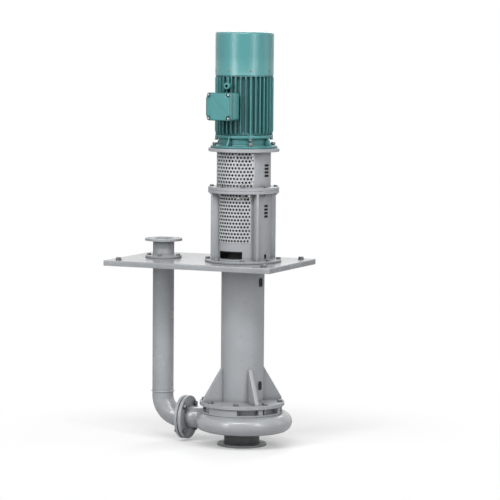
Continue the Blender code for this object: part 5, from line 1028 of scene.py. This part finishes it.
def make_frame_fins():
    """The finned frame: the section is drawn in towards both ends of the fins, and it has a bore."""
    polar = fin_outline()
    low, high, lug_reach, bore_r = 1.6484, 1.9551, 0.1545, 0.1248
    near_low = low + np.array([0.001, 0.004, 0.010, 0.016, 0.020, 0.024])
    near_high = high - np.array([0.009, 0.006, 0.003, 0.001])
    middle = np.linspace(low + 0.03, high - 0.014, 6)
    heights = np.concatenate([[low], near_low, middle, near_high, [high]])
    foot = 0.1400 + np.clip(heights - low, 0, 0.020) * 0.75
    head = lug_reach - np.clip(heights - (high - 0.008), 0, 0.008) * 0.55
    limit = np.minimum(foot, head)[:, None]
    ramp = 0.1440 - np.clip(heights - low - 0.001, 0, 0.015) * 0.87
    lug = np.repeat(np.arange(FINS) % 9 == 0, len(polar) // FINS)
    reach = np.minimum(np.maximum(polar[:, 0], ramp[:, None]), np.where(lug, lug_reach, limit))
    cosine, sine = np.cos(polar[:, 1]), np.sin(polar[:, 1])
    grid = np.stack([reach * cosine, reach * sine, heights[:, None] + 0 * reach], -1)
    bore = np.stack([bore_r * cosine, bore_r * sine], 1)
    inner = [np.concatenate([bore, np.full((len(polar), 1), z)], 1) for z in (high, low)]
    points = np.concatenate([grid.reshape(-1, 3), *inner])
    faces = cells_of(len(heights) + 2, len(polar), wrap_rows=True)
    pad = raised(box_outline(0.11, 0.11, 0.008), 0.0, 0.0365, 0.002)
    pad = placed(pad, facing(MOTOR_FRONT, 0.1282, BOX_Z))
    eye = eased([
        (0, 0, 0), (0.018, 0, 0), (0.018, 0.0500, 0.0045), (0.0078, 0.0500, 0.0015),
        (0.0070, 0.0300, 0), (0, 0.0300, 0),
    ], False)
    at_boss = facing(MOTOR_FRONT, 0.128, 1.906)
    boss = placed(turned(eye, False, 48), at_boss)
    rib = placed(raised(box_outline(0.008, 0.046, 0.003), 0, 0.034, 0.002), facing(MOTOR_FRONT, 0.128, 1.930))
    piece("motor_body", merged((points, faces), pad, boss, rib), "teal_paint", ["motor_frame"], sharp=40)
    # A dark iron plug at the bottom of the boss's hole: painted shade deep in the hole.
    piece("lifting_hole_shade", placed(rod(0.0069, 0.0302, 0.0345, 0.0008), at_boss), "dark_iron")


def make_terminal_box():
    """Box and lid with round edges, a parting groove between them and a screw sunk in each corner, ringed by
    painted shade.
    """
    box = merged(
        raised(box_outline(0.143, 0.143, 0.014), 0, 0.0585, 0.0025),
        raised(box_outline(0.137, 0.137, 0.011), 0.05, 0.07, 0.001),
        raised(box_outline(0.1445, 0.1445, 0.014), 0.0612, 0.0808, 0.002),
    )
    piece("terminal_case", placed(box, facing(MOTOR_FRONT, 0.165, BOX_Z)), "teal_paint", ["terminal_box"])
    notch, w = 0.0215, 0.0722
    quarter = np.array([(w, w - notch, 0.0085), (w - notch, w - notch, 0.007), (w - notch, w, 0.0085)])
    rows = []
    for k in range(4):
        c, s = math.cos(k * math.pi / 2), math.sin(k * math.pi / 2)
        xy = quarter[:, :2] @ np.array([[c, s], [-s, c]])
        rows.append(np.concatenate([xy, quarter[:, 2:]], 1))
    face = eased(np.concatenate(rows), True, 4)
    lid = merged(
        raised(box_outline(0.145, 0.145, 0.014), 0.0, 0.0055, 0.0015),
        raised(face, 0.0045, 0.0120, 0.0070, 5),
    )
    piece("terminal_lid", placed(lid, facing(MOTOR_FRONT, 0.2463, BOX_Z)), "teal_paint", ["terminal_box_lid"])
    on_lid, reach = facing(MOTOR_FRONT, 0.2518, BOX_Z), 0.0605
    corners = [on_lid @ shift(sx * reach, sy * reach, 0) for sx in (-1, 1) for sy in (-1, 1)]
    screw = rod(0.0050, 0.0, 0.0052, 0.0014, 24)
    piece("lid_screws", merged(*[placed(screw, place) for place in corners]), "bright_steel")
    # Dark rubber washers round the screws paint the shade of each sunk corner.
    washer = ring(0.0080, 0.0045, 0.0, 0.0016, 0.0005, 24)
    piece("lid_shade_washers", merged(*[placed(washer, place) for place in corners]), "rubber")


def make_cowl():
    """The drawn cowl: one skin from its lip up the side, round the shoulder and across the slotted top."""
    piece("endshield_rim", ring(0.1515, 0.1470, 1.9556, 1.9616, 0.001), "teal_paint")
    columns = 144
    a = np.linspace(0, math.pi / 2, 8)
    shoulder = np.stack([0.1417 + 0.012 * np.cos(a), 2.1748 + 0.012 * np.sin(a)], 1)
    top_r = [
        0.133, 0.1275, 0.1175, 0.11, 0.1025, 0.0925, 0.085,
        0.0775, 0.0675, 0.060, 0.0525, 0.0425, 0.036, 0.02,
    ]
    top = np.stack([top_r, [2.1868] * len(top_r)], 1)
    side = np.array([(0.1545, 1.962), (0.1545, 1.9655), (0.1537, 1.967), (0.1537, 2.06), (0.1537, 2.17)])
    profile = np.concatenate([side, shoulder, top])
    degrees = np.linspace(0, 360, columns + 1)
    middle_r = (profile[1:, 0] + profile[:-1, 0]) / 2
    middle_a = (degrees[1:] + degrees[:-1]) / 2
    flat = profile[1:, 1] == profile[:-1, 1]
    gone = np.zeros((len(profile) - 1, columns), bool)
    for low, high in ((0.1175, 0.1275), (0.0925, 0.1025), (0.0675, 0.0775), (0.0425, 0.0525)):
        rows = flat & (middle_r > low) & (middle_r < high)
        spoke = math.degrees(0.008 / ((low + high) / 2))
        open_a = np.abs((middle_a + 30) % 60 - 30) > spoke / 2
        gone |= rows[:, None] & open_a[None]
    points, faces = sheet(profile, degrees, gone)
    last = (len(profile) - 1) * columns
    faces.append([last + k for k in range(columns)])
    piece("cowl", (points, faces), "teal_paint", ["fan_cowl"], wall=0.002)
    screw = merged(rod(0.0045, 0.0, 0.003, 0.0012, 20), ring(0.0062, 0.003, 0.0, 0.0007, 0.0002, 20))
    screws = merged(*[placed(screw, facing(LUG_ANGLE + 45 * k, 0.1535, 1.985)) for k in range(8)])
    piece("cowl_screws", screws, "zinc")


# Camera, light and floor


def make_camera():
    """A long lens from the front right, a little above the pump's top, with the photograph's slight lean."""
    focal, sensor, picture = 2500.0, 36.0, 500.0
    azimuth, pitch, distance, height = math.radians(24.039), math.radians(5.107), 13.155, 2.215
    yaw, roll = math.atan((243.17 - picture / 2) / focal), math.radians(0.451)
    ahead = Vector((-math.sin(azimuth), math.cos(azimuth), 0))
    side = Vector((math.cos(azimuth), math.sin(azimuth), 0))
    level = math.cos(yaw) * ahead - math.sin(yaw) * side
    right = math.cos(yaw) * side + math.sin(yaw) * ahead
    up = Vector((0, 0, 1))
    look = math.cos(pitch) * level - math.sin(pitch) * up
    crown = math.cos(pitch) * up + math.sin(pitch) * level
    leaned_right = math.cos(roll) * right + math.sin(roll) * crown
    leaned_up = math.cos(roll) * crown - math.sin(roll) * right
    data = bpy.data.cameras.new("camera")
    data.lens = focal * sensor / picture
    data.sensor_width = sensor
    data.clip_end = 500
    camera = linked("camera", data)
    spin = Matrix((leaned_right, leaned_up, -look)).transposed().to_4x4()
    camera.matrix_world = shift(math.sin(azimuth) * distance, -math.cos(azimuth) * distance, height) @ spin
    bpy.context.scene.camera = camera


def lamp(name, where, aim_z, wide, tall, power):
    """A soft rectangular lamp aimed at a height on the shaft axis."""
    data = bpy.data.lights.new(name, "AREA")
    data.shape = "RECTANGLE"
    data.size = wide
    data.size_y = tall
    data.energy = power
    obj = linked(name, data)
    aim = Vector((0, 0, aim_z)) - Vector(where)
    obj.matrix_world = shift(*where) @ aim.to_track_quat("-Z", "Y").to_matrix().to_4x4()
    obj.visible_camera = False


def make_floor():
    """A pale floor that glows a little, and to the camera fades to plain white away from the part."""
    mesh = bpy.data.meshes.new("floor")
    mesh.from_pydata([(-60, -60, 0), (60, -60, 0), (60, 60, 0), (-60, 60, 0)], [], [(0, 1, 2, 3)])
    floor = linked("floor", mesh)
    white = bpy.data.materials.new("floor_white")
    white.use_nodes = True
    tree = white.node_tree
    shader = tree.nodes["Principled BSDF"]
    shader.inputs["Base Color"].default_value = (0.62, 0.62, 0.62, 1)
    shader.inputs["Roughness"].default_value = 0.8
    shader.inputs["Specular IOR Level"].default_value = 0.2
    glow = node(tree, "ShaderNodeEmission", Strength=0.285)
    blank = node(tree, "ShaderNodeEmission")
    near = node(tree, "ShaderNodeAddShader")
    where = node(tree, "ShaderNodeTexCoord")
    reach = node(tree, "ShaderNodeVectorMath", operation="LENGTH")
    reaches = {"From Min": 0.35, "From Max": 1.7}
    fade = node(tree, "ShaderNodeMapRange", interpolation_type="SMOOTHSTEP", **reaches)
    far = node(tree, "ShaderNodeMixShader")
    seen = node(tree, "ShaderNodeMixShader")
    path = node(tree, "ShaderNodeLightPath")
    wire(
        tree,
        (where.outputs["Object"], reach.inputs[0]), (reach.outputs["Value"], fade.inputs["Value"]),
        (shader.outputs[0], near.inputs[0]), (glow.outputs[0], near.inputs[1]),
        (fade.outputs["Result"], far.inputs[0]), (near.outputs[0], far.inputs[1]),
        (blank.outputs[0], far.inputs[2]), (path.outputs["Is Camera Ray"], seen.inputs[0]),
        (shader.outputs[0], seen.inputs[1]), (far.outputs[0], seen.inputs[2]),
        (seen.outputs[0], tree.nodes["Material Output"].inputs["Surface"]),
    )
    mesh.materials.append(white)


def make_world():
    """A world that lights the part softly, but is white to the camera, to gloss and through transmission."""
    world = bpy.data.worlds.new("world")
    world.use_nodes = True
    bpy.context.scene.world = world
    tree = world.node_tree
    lit = tree.nodes["Background"]
    lit.inputs["Color"].default_value = (1, 1, 1, 1)
    lit.inputs["Strength"].default_value = 0.28
    backdrop = node(tree, "ShaderNodeBackground", Color=(1, 1, 1, 1))
    path = node(tree, "ShaderNodeLightPath").outputs
    direct = math_of(tree, "MAXIMUM", path["Is Camera Ray"], path["Is Glossy Ray"])
    either = math_of(tree, "MAXIMUM", direct, path["Is Transmission Ray"])
    mix = node(tree, "ShaderNodeMixShader")
    wire(
        tree,
        (either, mix.inputs[0]), (lit.outputs[0], mix.inputs[1]), (backdrop.outputs[0], mix.inputs[2]),
        (mix.outputs[0], tree.nodes["World Output"].inputs["Surface"]),
    )


def make_lamps():
    """Soft lamps at the front left, front right, behind right, above and behind."""
    lamp("key", (-1.55, -4.75, 3.4), 1.2, 0.75, 3.5, 132)
    lamp("fill", (4.4, -2.35, 3.4), 1.2, 0.85, 3.5, 106)
    lamp("rim", (3.6, 2.0, 2.0), 1.1, 1.4, 3.0, 14)
    lamp("top", (1.0, -3.2, 4.7), 0.6, 3.6, 0.8, 145)
    lamp("back", (-1.0, 4.4, 3.8), 0.9, 2.6, 1.6, 75)
    bpy.context.scene.view_settings.view_transform = "Standard"


make_camera()
make_finishes()
dress_nodes()
make_suction_cover()
make_casing()
make_casing_cover()
make_column()
make_casing_bolts()
make_sole_plate()
make_discharge()
make_lantern()
make_endshield()
make_frame_fins()
make_terminal_box()
make_cowl()
make_floor()
make_world()
make_lamps()
